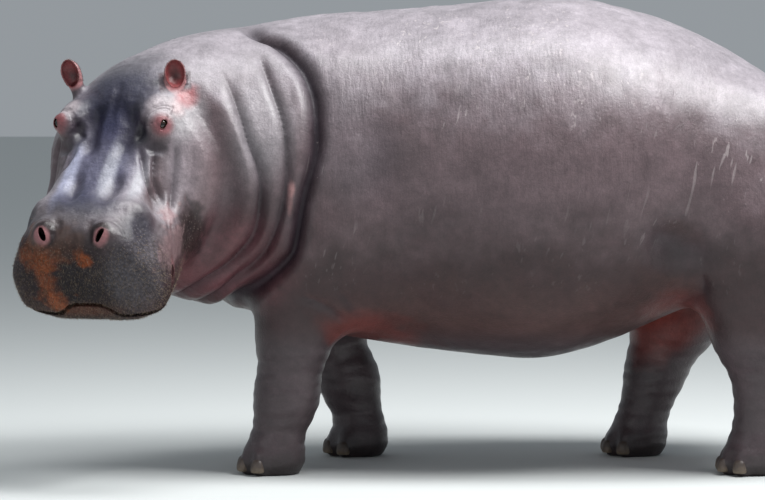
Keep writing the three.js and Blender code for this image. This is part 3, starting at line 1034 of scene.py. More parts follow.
@dataclass(frozen=True)
class HideRelief:
    """Every fold, wrinkle and lump of the hide. It only sinks from the outer surface."""

    body: Body
    depth_of_skin: float = 2.5  # how far the hide lies inside the frame's solids
    neck_folds: tuple[Furrow, ...] = (
        Furrow((
            (-1190, -495, 1255), (-1116, -514, 1166), (-1048, -531, 1050), (-1024, -528, 958),
            (-1037, -507, 827), (-1116, -475, 680), (-1190, -440, 610),
        ), 70, 26, Profile.HOLLOW, taper=170),
        Furrow((
            (-1060, -400, 1290), (-1026, -444, 1235), (-991, -482, 1156), (-963, -506, 1061),
            (-929, -509, 957), (-928, -497, 861), (-951, -468, 757), (-1009, -441, 675),
            (-1107, -400, 600), (-1190, -300, 545), (-1240, -170, 560),
        ), 44, 34, left=40, taper=230),
        Furrow((
            (-960, -290, 1370), (-926, -367, 1302), (-894, -432, 1223), (-856, -486, 1098),
            (-849, -506, 935), (-874, -493, 811), (-925, -456, 700), (-1030, -372, 586),
            (-1110, -270, 530), (-1180, -130, 540),
        ), 42, 32, left=38, taper=240),
        Furrow((
            (-1010, -60, 1400), (-951, -225, 1387), (-879, -289, 1360), (-814, -374, 1299),
            (-773, -446, 1205), (-763, -483, 1113), (-766, -504, 1012), (-806, -504, 861),
            (-838, -493, 718), (-863, -474, 677), (-962, -379, 586), (-1015, -285, 536),
            (-1070, -130, 505), (-1090, 30, 500),
        ), 50, 60, left=52, floor=10, rounding=5, taper=200),
        # The same folds go on over the nape and are drawn out flat on the right side.
        Furrow((
            (-1020, -20, 1402), (-1030, 130, 1345), (-1010, 290, 1190),
            (-960, 380, 1000), (-900, 400, 780),
        ), 50, 16, left=60, taper=260),
        Furrow((
            (-1150, -60, 1330), (-1180, 60, 1220), (-1170, 150, 1050),
            (-1130, 190, 880), (-1100, 170, 720),
        ), 46, 13, taper=240),
        Furrow((
            (-1290, -150, 1270), (-1330, -60, 1160), (-1330, 0, 1000),
            (-1290, 20, 860), (-1220, 20, 720),
        ), 46, 12, taper=240),
    )
    body_folds: tuple[Furrow, ...] = (
        Furrow(((-820, -455, 575), (-746, -444, 544), (-709, -424, 521), (-660, -370, 476)),
               34, 17, taper=50),
        Furrow(((-700, -470, 600), (-665, -450, 560), (-640, -420, 520), (-620, -370, 480)),
               30, 9, taper=60),
        Furrow(((-790, 440, 575), (-700, 430, 540), (-600, 360, 480)), 34, 14, taper=50),
        Furrow(((250, -570, 800), (370, -545, 700), (450, -500, 610)), 110, 30, Profile.HOLLOW, taper=120),
        Furrow(((250, 570, 800), (330, 545, 700), (400, 500, 610)), 110, 26, Profile.HOLLOW, taper=120),
        Furrow(((415, -500, 640), (425, -455, 575), (400, -380, 525), (380, -280, 500)), 40, 16, taper=80),
        Furrow(((840, -300, 880), (800, -330, 730), (770, -330, 600)), 90, 16, Profile.HOLLOW, taper=120),
        Furrow(((840, 300, 880), (790, 330, 730), (740, 330, 600)), 90, 16, Profile.HOLLOW, taper=120),
        Furrow(((-560, -500, 1180), (-545, -530, 1000), (-560, -540, 800)),
               100, 12, Profile.HOLLOW, taper=160),
        Furrow(((-560, 500, 1180), (-520, 530, 1000), (-520, 540, 800)), 100, 12, Profile.HOLLOW, taper=160),
    )
    face_folds: tuple[Furrow, ...] = (
        # Down the forehead, and the dips between the brow, the bridge and the ridges of the snout.
        Furrow(((-150, 0, 66), (-100, 0, 62), (-49, 0, 46), (10, 0, 26)), 26, 5, Profile.HOLLOW, taper=40),
        Furrow(((-60, 40, 56), (0, 62, 28), (60, 60, 0), (130, 46, -18)), 44, 22, Profile.HOLLOW, taper=70),
        Furrow(((-14, 104, 28), (24, 100, 8), (62, 112, -14)), 36, 24, Profile.HOLLOW, taper=36),
        Furrow(((62, 118, -16), (66, 150, -36), (44, 190, -44)), 26, 12, Profile.HOLLOW, taper=40),
        Furrow(((150, 66, -24), (240, 64, -20), (350, 50, -16)), 36, 15, Profile.HOLLOW, taper=70),
        # From the eyes to the corners of the mouth.
        Furrow(((66, 104, -6), (115, 127, -31), (158, 147, -54), (190, 165, -92), (215, 188, -136)),
               26, 27, left=24, taper=55),
        Furrow(((58, 156, -20), (113, 160, -53), (147, 164, -76), (172, 176, -108), (212, 200, -142)),
               22, 25, left=20, taper=55),
        Furrow(((20, 211, -22), (76, 212, -66), (123, 212, -106), (166, 212, -134), (235, 222, -164)),
               26, 24, left=30, taper=60),
        Furrow(((-20, 230, -66), (40, 240, -112), (98, 240, -150), (140, 236, -186)), 30, 7, taper=60),
        # Wrinkles round the corner of the mouth and on the jowl.
        Furrow(((196, 196, -124), (240, 214, -138), (285, 228, -160), (330, 238, -192)), 14, 7, taper=40),
        Furrow(((250, 228, -153), (300, 240, -185), (340, 242, -225), (384, 240, -276)), 16, 11, taper=24),
        Furrow(((205, 214, -160), (250, 232, -182), (290, 244, -214)), 11, 6, taper=30),
        Furrow(((190, 216, -182), (228, 232, -206), (262, 244, -240)), 11, 5, taper=30),
        Furrow(((200, 198, -210), (190, 214, -246), (195, 224, -284)), 22, 9, taper=36),
        Furrow(((128, 245, -148), (141, 252, -176), (142, 261, -210)), 20, 9, left=14, taper=26),
        # Under the eyes, and over them.
        Furrow(((30, 128, -6), (46, 150, -18), (44, 178, -28), (24, 198, -30)), 14, 8, taper=26),
        Furrow(((-46, 118, 40), (-34, 142, 50), (-30, 168, 47), (-36, 190, 34)), 15, 6, taper=26),
        # Between and round the nostrils, and below them.
        Furrow(((300, 150, -50), (380, 170, -95), (450, 176, -150)), 50, 10, Profile.HOLLOW, taper=110),
        Furrow(((440, 0, -18), (480, 0, -60), (503, 0, -130), (507, 0, -220)),
               24, 6, Profile.HOLLOW, taper=50),
        Furrow(((400, 60, -8), (440, 52, -16), (474, 70, -46)), 20, 7, Profile.HOLLOW, taper=30),
        Furrow(((460, 150, -60), (490, 150, -110), (502, 148, -180)), 34, 5, Profile.HOLLOW, taper=60),
    )

    def creases(self) -> tuple[Furrow, ...]:
        """Makes the thin creases that ring the eyes and nostrils.

        Returns:
            The creases, in the head's frame.
        """
        head = self.body.head
        rings = [
            ring(head.eye, head.gaze, 45, -110, 120),
            ring(head.eye, head.gaze, 56, -70, 100),
            ring(head.eye, head.gaze, 67, -40, 80),
            ring(head.nostril, (0.7, 0.35, 0.6), 34, -160, 60),
        ]
        widths = (8, 9, 10, 10)
        depths = (6.0, 5.0, 4.0, 3.2)
        return tuple(
            Furrow(path, width, depth, Profile.CREASE, taper=24, on_head=True)
            for path, width, depth in zip(rings, widths, depths)
        )

    def folds(self) -> list[Furrow]:
        """Gathers the furrows that don't add up where they meet."""
        on_face = [replace(f, on_head=True) for f in self.face_folds]
        return [*self.neck_folds, *self.body_folds, *on_face]

    def onto_skin(self, mesher: SkinMesher, curves: list[Array]) -> list[Array]:
        """Moves the furrows' paths onto the surface, all at once.

        Args:
            mesher: What measures the animal's shape.
            curves: The paths.

        Returns:
            The same paths on the surface.
        """
        points = np.concatenate(curves)
        for _ in range(5):
            value = mesher.measure(points)
            slope = mesher.slope(points, value)
            steep2 = np.maximum((slope * slope).sum(1), 0.05)
            points = points - slope * (np.clip(value, -25, 25) / steep2)[:, None]
        return np.split(points, np.cumsum([len(c) for c in curves])[:-1])

    def small_wrinkles(self, p: Array, local: Array) -> Array:
        """Makes the lumps and fine wrinkles of the hide.

        Args:
            p: Points in the animal's frame.
            local: The same points in the head's frame.

        Returns:
            How far each point sinks, in mm.
        """
        on_face = ramp(local[:, 0], -260, -60) * ramp(p[:, 0], -980, -1120)
        on_leg = ramp(p[:, 2], 470, 330)
        on_trunk = (1 - on_face) * (1 - on_leg)
        lumps = 2.4 * (1 + lattice_noise(p, (130, 150, 170), 1))
        ripples = 1.5 * (1 + lattice_noise(p, (36, 160, 120), 2))
        ripples += 0.9 * (1 + lattice_noise(p, (24, 60, 48), 3))
        bent = p[:, 2] + 14 * lattice_noise(p, (90, 90, 60), 4)
        rings = 1.8 * (1 + np.sin(bent * 2 * math.pi / 44)) * (0.6 + 0.4 * lattice_noise(p, (60, 60, 90), 5))
        pebbles = 0.8 * (1 + lattice_noise(local, (13, 13, 13), 6))
        pebbles += 1.1 * (1 + lattice_noise(local, (34, 34, 34), 7))
        nape = np.exp(-(((local - (-275, 0, 60)) / (75, 130, 70)) ** 2).sum(1))
        rumples = 3.4 * nape * (1 + lattice_noise(local, (17, 42, 20), 8))
        return on_trunk * (lumps + ripples) + on_leg * rings + on_face * pebbles + rumples

    def sink(self, mesher: SkinMesher, p: Array, outward: Array) -> tuple[Array, Array]:
        """Works out how far the whole hide sinks.

        Args:
            mesher: What measures the animal's shape.
            p: Points on the surface in mm.
            outward: The normals there.

        Returns:
            How far each point sinks in mm, and how much painted shade it gets in folds, from 0 to 1.
        """
        head = self.body.head.frame
        furrows, curves = [], []
        for furrow in [*self.folds(), *self.creases()]:
            for curve in furrow.curves(head):
                furrows.append(furrow)
                curves.append(curve)
        deepest = np.zeros(len(p))
        added = np.zeros(len(p))
        shade = np.zeros(len(p))
        for furrow, curve in zip(furrows, self.onto_skin(mesher, curves)):
            near, deep = furrow.sink(p, outward, curve)
            shade[near] = np.maximum(shade[near], deep * furrow.profile.shade)
            if furrow.profile is Profile.CREASE:
                added[near] += deep
            else:
                both = np.hypot(deepest[near], deep)
                deepest[near] = np.maximum(np.maximum(deepest[near], deep), 0.85 * both)
        local = carried(np.linalg.inv(head), p)
        standing = ramp(p[:, 2], 0, 30)
        sunk = self.depth_of_skin + deepest + added + self.small_wrinkles(p, local)
        return sunk * standing, np.clip(shade / 46, 0, 1)


# ---------------- colours


def linear(colour: str) -> tuple[float, float, float]:
    """Turns an sRGB hex value, such as #6b5f66, into linear light."""
    parts = [int(colour[i : i + 2], 16) / 255 for i in (1, 3, 5)]
    return tuple(c / 12.92 if c <= 0.04045 else ((c + 0.055) / 1.055) ** 2.4 for c in parts)


@dataclass(frozen=True)
class Patch:
    """A soft-edged patch of colour round a place on the hide."""

    colour: str
    centre: Point
    radii: Point
    strength: float = 1.0
    ragged: float = 0.0  # how much its edge wanders


@dataclass(frozen=True)
class Markings:
    """The hide's colours, painted light and shade among them, which the skin and the bristles share."""

    body: Body
    # Paler where the hide faces up: a painted sheen of the light from above.
    back: str = "#aaa2a9"
    flank: str = "#786569"
    # Painted shade darkens the lower flank and the underside; the underside's reddish tone is the hide's
    # own.
    painted_shade_low_flank: str = "#432c2e"
    painted_shade_reddish_underside: str = "#5e4442"
    legs: str = "#57494d"
    soles: str = "#3f3637"
    # Painted shade at the bottom of folds.
    fold: str = "#2a2430"
    ear_inside: str = "#984547"
    ear_rim: str = "#cf9092"
    ear_back: str = "#66575e"
    lid: str = "#a8666b"
    lid_lining: str = "#8f4245"
    nostril_ring: str = "#b57a7d"
    lip: str = "#a5696c"
    # Painted shade deep in the ears' cups, inside the nostrils and between the lips.
    hollow: str = "#2a1719"
    wet: float = 0.68  # how much light wet hide sends back against the same hide dry
    on_body: tuple[Patch, ...] = (
        # The neck's lower rolls and throat are pinker.
        Patch("#7f4c52", (-1010, -430, 680), (170, 150, 160), 0.8),
        Patch("#865258", (-1110, -400, 640), (150, 200, 120), 0.7),
        # A painted highlight lies pale on one roll. The right side of the neck is pinkish too.
        Patch("#d2ccd1", (-925, -510, 1110), (100, 130, 170), 0.55),
        Patch("#8a6a70", (-930, 330, 700), (190, 170, 200), 0.6),
        # Armpits and groins.
        Patch("#8f4640", (-640, -330, 470), (130, 110, 56), 0.7, 0.5),
        Patch("#8f4640", (-560, -170, 420), (150, 170, 60), 0.6, 0.5),
        Patch("#9d4038", (-600, 300, 460), (150, 150, 70), 0.8, 0.3),
        Patch("#86433e", (380, -290, 520), (120, 110, 90), 0.7, 0.5),
        Patch("#9a4239", (300, 150, 440), (170, 200, 110), 0.8, 0.3),
        # A pink scar on the last roll, and the pale shoulder.
        Patch("#e6aeac", (-834, -505, 904), (12, 30, 24), 1.0, 0.3),
        Patch("#c79492", (-838, -500, 868), (9, 30, 40), 0.5, 0.3),
        Patch("#9c9298", (-700, -420, 1290), (130, 200, 150), 0.45),
        Patch("#857d84", (-640, -500, 1050), (120, 120, 170), 0.35),
    )
    on_face: tuple[Patch, ...] = (
        # The forehead, brow and bridge are slate blue, and painted highlights lie pale on the ridges of the
        # snout.
        Patch("#343549", (-100, -10, 60), (150, 165, 110), 0.95),
        Patch("#1f202e", (-20, 0, 40), (70, 96, 60), 0.75),
        Patch("#4d5070", (130, 0, -20), (190, 130, 80), 0.8),
        Patch("#c3c4d0", (175, 34, -18), (110, 24, 50), 0.75),
        Patch("#c0c3dd", (200, -96, -26), (150, 24, 50), 0.8),
        Patch("#c0c0c8", (205, 134, -46), (100, 18, 50), 0.6),
        # Painted shade darkens the hollows beside the snout and behind the nostrils, and the muzzle is dark.
        Patch("#2e3040", (375, 170, -95), (95, 42, 80), 0.85),
        Patch("#3b3e5b", (300, -50, -30), (70, 70, 60), 0.85),
        Patch("#3f4159", (335, 30, -26), (60, 90, 50), 0.75),
        Patch("#2d2a2e", (440, -30, -190), (170, 230, 200), 0.92),
        Patch("#454a5c", (330, -215, -170), (130, 70, 140), 0.7),
        Patch("#77757c", (470, 170, -170), (110, 90, 130), 0.55, 0.2),
        # A painted highlight makes the cheek and temple pale, the jowl is pinkish, and stubble darkens the
        # mouth's corner.
        Patch("#b3a9b0", (40, 235, -90), (150, 60, 120), 0.7),
        Patch("#d8d3d6", (-60, 225, 0), (80, 60, 70), 0.8),
        Patch("#917a7d", (-60, 270, -190), (170, 90, 150), 0.7),
        Patch("#7a4d50", (60, 200, -370), (230, 190, 110), 0.8),
        Patch("#2c2322", (195, 245, -256), (76, 66, 92), 0.82, 0.5),
        # The chin and the lower lip.
        Patch("#3d352f", (420, 0, -370), (160, 220, 60), 0.7),
        Patch("#6a4436", (500, -20, -300), (90, 110, 34), 0.85, 0.3),
        # Rust-coloured mud on the muzzle.
        Patch("#a4552a", (495, -110, -96), (70, 66, 52), 0.75, 0.7),
        Patch("#b0592a", (500, 30, -98), (70, 34, 28), 0.85, 0.7),
        Patch("#a5572f", (512, -112, -190), (60, 44, 66), 0.6, 0.9),
        Patch("#b3623a", (512, -92, -262), (50, 34, 44), 0.7, 0.7),
        Patch("#6a4a3c", (480, -60, -50), (60, 110, 50), 0.6, 0.5),
        # The nape, and bare pink skin under the ear and behind the eye.
        Patch("#6e6c72", (-250, 0, 60), (80, 130, 70), 0.6),
        Patch("#c4696c", (-122, 214, 30), (44, 36, 46), 0.85, 0.2),
        Patch("#bb7f80", (-60, 215, 40), (40, 34, 30), 0.5, 0.2),
    )
    both_sides: tuple[Patch, ...] = (
        # Painted shade in front of and under the eyes, a painted highlight over them, and pink towards the
        # corners of the mouth.
        Patch("#1f1d28", (42, 106, -2), (42, 30, 30), 0.9),
        Patch("#3a3640", (60, 150, -34), (34, 44, 24), 0.55),
        Patch("#d9ccd0", (-46, 156, 48), (46, 40, 26), 0.75, 0.2),
        Patch("#b98d8f", (226, 212, -148), (52, 28, 26), 0.65, 0.9),
        Patch("#a88a8c", (320, 236, -200), (80, 26, 50), 0.55, 0.9),
    )

    def blend(self, base: Array, colour: str, share: Array) -> Array:
        """Mixes a colour into others by each point's share."""
        return base + (np.array(linear(colour)) - base) * np.clip(share, 0, 1)[:, None]

    def dab(self, base: Array, p: Array, patch: Patch, wander: Array) -> Array:
        """Lays a patch over the colours.

        Args:
            base: The colours so far.
            p: The points, in the patch's own frame.
            patch: What to lay down.
            wander: Noise at the points, which makes the edge ragged.

        Returns:
            The new colours.
        """
        far = np.sqrt((((p - np.array(patch.centre)) / patch.radii) ** 2).sum(1))
        far = far * (1 + patch.ragged * 0.5 * wander) + patch.ragged * 0.35 * wander
        return self.blend(base, patch.colour, patch.strength * ramp(far, 1.45, 0.45))

    def ears(self, base: Array, local: Array) -> Array:
        """Colours both ears: pink inside, paler on the rim and grey behind, with painted shade deep in the
        cup.

        Args:
            base: The colours so far.
            local: The points, in the head's frame.

        Returns:
            The new colours.
        """
        for ear in self.body.head.ears:
            q = carried(np.linalg.inv(ear.frame), local)
            on_ear = ramp(np.abs(q[:, 0]), 46, 36) * ramp(np.abs(q[:, 1]), 54, 46) * ramp(q[:, 2], 0, 20)
            base = self.blend(base, self.ear_back, on_ear)
            middle = ((q[:, 1] / 30) ** 2 + ((q[:, 2] - ear.height / 2 - 8) / 44) ** 2) ** 0.5
            inside = ramp(middle, 1.12, 0.98) * ramp(q[:, 0], -21, -15)
            base = self.blend(base, self.ear_inside, on_ear * inside * 0.95)
            # Painted shade deep in the cup.
            deep = ramp(middle, 0.85, 0.2) * ramp(q[:, 2], 90, 40)
            base = self.blend(base, self.hollow, on_ear * inside * deep * 0.8)
            rim = ramp(np.abs(middle - 1.14), 0.22, 0.06) * ramp(q[:, 0], -6, 4)
            base = self.blend(base, self.ear_rim, on_ear * rim * 0.9)
        return base

    def openings(self, base: Array, local: Array) -> Array:
        """Colours the lids, nostrils and lips, with painted shade inside the nostrils and between the lips.

        Args:
            base: The colours so far.
            local: The points, in the head's frame.

        Returns:
            The new colours.
        """
        head = self.body.head
        half = local * [1, 0, 1] + np.abs(local) * [0, 1, 0]
        nostril = np.array(head.nostril) + (28, -8, 29)
        off = half - nostril
        far = np.sqrt(((off / (1.0, 0.86, 1.0)) ** 2).sum(1))
        base = self.blend(base, self.nostril_ring, 0.9 * ramp(far, 46, 26))
        # Painted shade inside the nostril.
        sunk = ramp(off @ np.array([0.75, 0.1, 0.66]), -4, -14)
        base = self.blend(base, self.hollow, sunk * ramp(far, 56, 40))
        eye = np.array(head.eye)
        gaze = np.array(head.gaze) / np.linalg.norm(head.gaze)
        off = half - eye
        along = off @ gaze
        aside = np.linalg.norm(off - along[:, None] * gaze, axis=1)
        base = self.blend(base, self.lid, 0.9 * ramp(aside, 46, 18) * ramp(along, 0, 14))
        lining = ramp(np.linalg.norm(off, axis=1), 35, 31)
        base = self.blend(base, self.lid_lining, 0.8 * lining * ramp(along, 0, 14))
        depth = head.lips(local, np.zeros(len(local)))
        near_lips = ramp(depth, 30, 8) * ramp(local[:, 0], 150, 200)
        base = self.blend(base, self.lip, 0.55 * near_lips * ramp(local[:, 0], 430, 330))
        # Painted shade between the lips.
        return self.blend(base, self.hollow, 0.8 * ramp(depth, 2, -3) * near_lips)

    def paint(self, p: Array, outward: Array, fold: Array) -> Array:
        """Colours the hide.

        Args:
            p: Points on the outer surface, in mm in the animal's frame.
            outward: The normals there.
            fold: How much painted shade each point gets in folds, from 0 to 1.

        Returns:
            A linear colour for each point, painted light and shade included.
        """
        local = carried(np.linalg.inv(self.body.head.frame), p)
        wander = 0.6 * lattice_noise(p, (70, 70, 70), 21) + 0.4 * lattice_noise(p, (26, 26, 26), 22)
        fine = lattice_noise(p, (17, 17, 17), 23)
        height = p[:, 2] + 60 * wander
        colour = np.tile(np.array(linear(self.flank)), (len(p), 1))
        for hue, share in (
            # Painted sheen: paler where the hide faces up.
            (self.back, ramp(outward[:, 2] + 0.12 * wander, 0.1, 0.85)),
            # Painted shade darkens the lower flank and the underside; the underside's reddish tone is the
            # hide's own.
            (self.painted_shade_low_flank, ramp(height, 960, 600)),
            (self.painted_shade_reddish_underside, ramp(outward[:, 2] + 0.15 * wander, -0.35, -0.85)),
            (self.legs, ramp(p[:, 2], 480, 380)),
            (self.soles, ramp(p[:, 2], 110, 10)),
        ):
            colour = self.blend(colour, hue, share)
        for patch in self.on_body:
            colour = self.dab(colour, p, patch, wander)
        near_head = local[:, 0] > -420
        face = local[near_head]
        found = colour[near_head]
        both = face * [1, 0, 1] + np.abs(face) * [0, 1, 0]
        rough = wander[near_head] + 0.7 * fine[near_head]
        for patch in self.on_face:
            found = self.dab(found, face, patch, rough)
        for patch in self.both_sides:
            found = self.dab(found, both, patch, rough)
        found = self.ears(self.openings(found, face), face)
        colour[near_head] = found
        # Painted shade darkens the folds' valleys.
        colour = self.blend(colour, self.fold, 0.9 * fold**0.65)
        return colour * (self.wet * (1 + 0.14 * wander + 0.07 * fine))[:, None]

    def marks(self, p: Array, outward: Array, fold: Array) -> Array:
        """Says how stubbly, how scratched and how dull the hide is.

        Args:
            p: Points on the outer surface, in mm in the animal's frame.
            outward: The normals there.
            fold: How much painted shade each point gets in folds, from 0 to 1.

        Returns:
            For each point, those three from 0 to 1.
        """
        local = carried(np.linalg.inv(self.body.head.frame), p)
        ahead = ramp(local[:, 0], 300, 400) * ramp(local[:, 2], -20, -70) * ramp(local[:, 2], -460, -420)
        patch = np.sqrt((((local - (205, 245, -262)) / (66, 60, 84)) ** 2).sum(1))
        stubble = np.maximum(ahead, ramp(patch, 1.3, 0.6))
        on_trunk = ramp(p[:, 0], -860, -740) * ramp(p[:, 2], 520, 700)
        upward = ramp(outward[:, 2], -0.2, 0.35)
        brow = np.sqrt((((local - (-20, 0, 40)) / (100, 76, 80)) ** 2).sum(1))
        dull = np.maximum(0.9 * ramp(brow, 1.4, 0.5), 0.5 * ramp(outward[:, 2], 0.1, -0.6))
        return np.stack([stubble, on_trunk * (0.35 + 0.65 * upward), np.maximum(fold, dull)], 1)


# ---------------- finishes


def per_metre(size: float) -> float:
    """Gives the texture scale whose pattern repeats about every size millimetres."""
    return 1 / (size * MM)


def wire(
    tree: bpy.types.NodeTree,
    kind: str,
    inputs: dict[str | int, object] | None = None,
    stops: Sequence[tuple[float, str]] = (),
    **settings: object,
) -> bpy.types.Node:
    """Adds a shader node with its settings and links.

    Args:
        tree: The material's or world's node tree.
        kind: The node's type name without the ShaderNode that it starts with.
        inputs: What feeds each input: a socket, a node, which stands for its first output in use, an sRGB
            hex colour or a plain value.
        stops: A colour ramp's places, from 0 to 1 in order, and sRGB hex colours.
        settings: The node's own settings.

    Returns:
        The new node.
    """
    made = tree.nodes.new("ShaderNode" + kind)
    for name, value in settings.items():
        setattr(made, name, value)
    for name, value in (inputs or {}).items():
        if isinstance(value, bpy.types.Node):
            value = next(socket for socket in value.outputs if socket.enabled)
        if isinstance(value, bpy.types.NodeSocket):
            tree.links.new(value, made.inputs[name])
        else:
            made.inputs[name].default_value = (*linear(value), 1) if isinstance(value, str) else value
    if stops:
        elements = made.color_ramp.elements
        elements[0].position, elements[-1].position = stops[0][0], stops[-1][0]
        for place, _ in stops[1:-1]:
            elements.new(place)
        for stop, (_, colour) in zip(elements, stops):
            stop.color = (*linear(colour), 1)
    return made


def blank_material(name: str) -> tuple[bpy.types.Material, Adder]:
    """Makes a material with an empty node tree.

    Args:
        name: The material's name.

    Returns:
        The material, and wire for its tree.
    """
    material = bpy.data.materials.new(name)
    material.use_nodes = True
    material.node_tree.nodes.clear()
    return material, partial(wire, material.node_tree)


@dataclass(frozen=True)
class Pattern:
    """A random pattern of a real size, of which one range shows."""

    size: float  # mm across a lump
    detail: float
    shows: tuple[float, float] = (0.3, 0.7)  # from its 0 to 1
    gives: tuple[float, float] = (0.0, 1.0)  # what that range turns into
    coarse: float = 0.62  # how strong each finer layer is against the one before

    def lumps(self, add: Adder, place: object) -> bpy.types.Node:
        """Adds the bare pattern.

        Args:
            add: Adds a node to the material.
            place: The coordinates that it lies in.

        Returns:
            The node that gives its value.
        """
        scale = per_metre(self.size)
        inputs = {"Vector": place, "Scale": scale, "Detail": self.detail, "Roughness": self.coarse}
        return add("TexNoise", inputs)

    def lay(self, add: Adder, place: object) -> bpy.types.Node:
        """Adds the pattern, with the range that shows spread over what it gives.

        Args:
            add: Adds a node to the material.
            place: The coordinates that it lies in.

        Returns:
            The node that gives its value.
        """
        (low, high), (least, most) = self.shows, self.gives
        return add("MapRange", {"Value": self.lumps(add, place), 1: low, 2: high, 3: least, 4: most})


@dataclass(frozen=True)
class WetHide:
    """Bare hippopotamus hide, damp from the water: leathery, nearly hairless, with a broad soft sheen."""

    ior: float = 1.42  # keratin and water
    sheen: Pattern = Pattern(60, 4, gives=(0.33, 0.54))  # its roughness
    stubble_roughness: float = 0.10
    damp: float = 0.34  # how much of a clear wet film lies on it
    damp_roughness: float = 0.34
    clouds: Pattern = Pattern(110, 6, (0.32, 0.68), (0.80, 1.16))
    dapple: Pattern = Pattern(24, 5, gives=(0.86, 1.13))
    grain: Pattern = Pattern(5, 2, gives=(0.90, 1.10))
    crackle: float = 15.0  # mm across the plates between cracks; the real ones are 3 to 8, too fine to show
    pebble: float = 9.0  # mm across a pebble of the face's skin; the real ones are 2 to 4
    scratch: tuple[float, float] = (6.5, 230.0)  # mm wide and long
    scratch_lean: float = 0.22  # radians from upright
    thread: Pattern = Pattern(14.3, 1.5, (0.63, 0.68))
    speck: Pattern = Pattern(11, 1, (0.73, 0.78))
    marked: Pattern = Pattern(260, 2, (0.46, 0.60))  # where the scratches and specks lie
    fine: Pattern = Pattern(9, 5)
    rib: Pattern = Pattern(16, 4)
    rib_stretch: Point = (1.0, 3.2, 5.0)
    relief: float = 2.6  # mm

    def material(self) -> bpy.types.Material:
        """Makes the hide's material, which reads its colours from the mesh.

        Returns:
            The material.
        """
        made, add = blank_material("wet_bare_hide")
        place = add("TexCoord").outputs["Object"]
        marks = add("SeparateColor", {"Color": add("Attribute", attribute_name="hide_marks")}).outputs
        stubble, worn, dull = (marks[name] for name in ("Red", "Green", "Blue"))

        # Blotches of pigment, large and small, give the hide its clouded look.
        shade = self.clouds.lay(add, place)
        for pattern in (self.dapple, self.grain):
            shade = add("Math", {0: shade, 1: pattern.lay(add, place)}, operation="MULTIPLY")
        tone = add("CombineColor", {"Red": shade, "Green": shade, "Blue": shade})
        # The hide's colours carry painted light and shade.
        base = add("Attribute", attribute_name="hide_colour")
        colour = add("Mix", {0: 1.0, 6: base, 7: tone}, data_type="RGBA", blend_type="MULTIPLY")

        # Fine cracks between plates of skin, darker at the bottom.
        cells = {"Vector": place, "Scale": per_metre(self.crackle), "Randomness": 1.0}
        edge = add("TexVoronoi", cells, feature="DISTANCE_TO_EDGE")
        plates = add("MapRange", {"Value": edge, 1: 0.0, 2: 0.14})
        cracks = add("MapRange", {"Value": plates, 3: 0.10, 4: 0.0})
        colour = add("Mix", {0: cracks, 6: colour, 7: "#2c2427"}, data_type="RGBA")

        # Old scratches run up and down the sides as pale threads, and small scars lie as pale specks.
        width, length = self.scratch
        drawn_out = {"Vector": place, "Scale": (1, 1, length / width), "Rotation": (0, self.scratch_lean, 0)}
        upright = add("Mapping", drawn_out, vector_type="TEXTURE")
        marked = add("Math", {0: self.marked.lay(add, place), 1: worn}, operation="MULTIPLY")
        scratches = add("Math", {0: self.thread.lay(add, upright), 1: marked}, operation="MULTIPLY")
        specks = add("Math", {0: self.speck.lay(add, place), 1: marked}, operation="MULTIPLY")

        # The lips' short stubble is too fine to model hair by hair: dark pores between pale stumps.
        pores = {"Vector": place, "Scale": per_metre(self.pebble), "Randomness": 1.0}
        pore = add("TexVoronoi", pores, feature="F1").outputs["Distance"]
        middles = add("MapRange", {"Value": pore, 1: 0.30, 2: 0.12})
        edges = add("MapRange", {"Value": pore, 1: 0.45, 2: 0.75})
        stumps = add("Math", {0: middles, 1: stubble}, operation="MULTIPLY")
        dark_pores = add("Math", {0: edges, 1: stubble}, operation="MULTIPLY")
        for mark, strength, hue in (
            (scratches, 0.34, "#c3b9b8"),
            (specks, 0.30, "#b8aaa8"),
            (stumps, 0.24, "#a39a92"),
            (dark_pores, 0.45, "#1f1b1b"),
        ):
            share = add("Math", {0: mark, 1: strength}, operation="MULTIPLY")
            colour = add("Mix", {0: share, 6: colour, 7: hue}, data_type="RGBA")

        # Relief too small for the mesh: wrinkles that run down the sides, plates, stumps and scratches.
        upright = add("Mapping", {"Vector": place, "Scale": self.rib_stretch}, vector_type="TEXTURE")
        rib_height = add("MapRange", {"Value": worn, 3: 0.7, 4: 2.2})
        height = self.fine.lumps(add, place)
        for layer, strength in (
            (self.rib.lumps(add, upright), rib_height),
            (plates, 0.06),
            (stumps, 0.5),
            (scratches, -0.3),
        ):
            height = add("Math", {0: layer, 1: strength, 2: height}, operation="MULTIPLY_ADD")
        bump = add("Bump", {"Height": height, "Distance": self.relief * MM, "Strength": 0.75})

        # Folds and stubble break the wet film up.
        rough = {0: stubble, 1: self.stubble_roughness, 2: self.sheen.lay(add, place)}
        off_folds = add("MapRange", {"Value": dull, 3: 1.0, 4: 0.05})
        off_stubble = add("MapRange", {"Value": stubble, 3: 1.0, 4: 0.15})
        film = add("Math", {0: off_folds, 1: off_stubble}, operation="MULTIPLY")
        surface = {
            "Base Color": colour,
            "Roughness": add("Math", rough, operation="MULTIPLY_ADD"),
            "IOR": self.ior,
            "Specular IOR Level": add("MapRange", {"Value": film, 3: 0.12, 4: 0.5}),
            "Coat Weight": add("Math", {0: film, 1: self.damp}, operation="MULTIPLY"),
            "Coat Roughness": self.damp_roughness,
            "Normal": bump,
        }
        add("OutputMaterial", {"Surface": add("BsdfPrincipled", surface)})
        return made


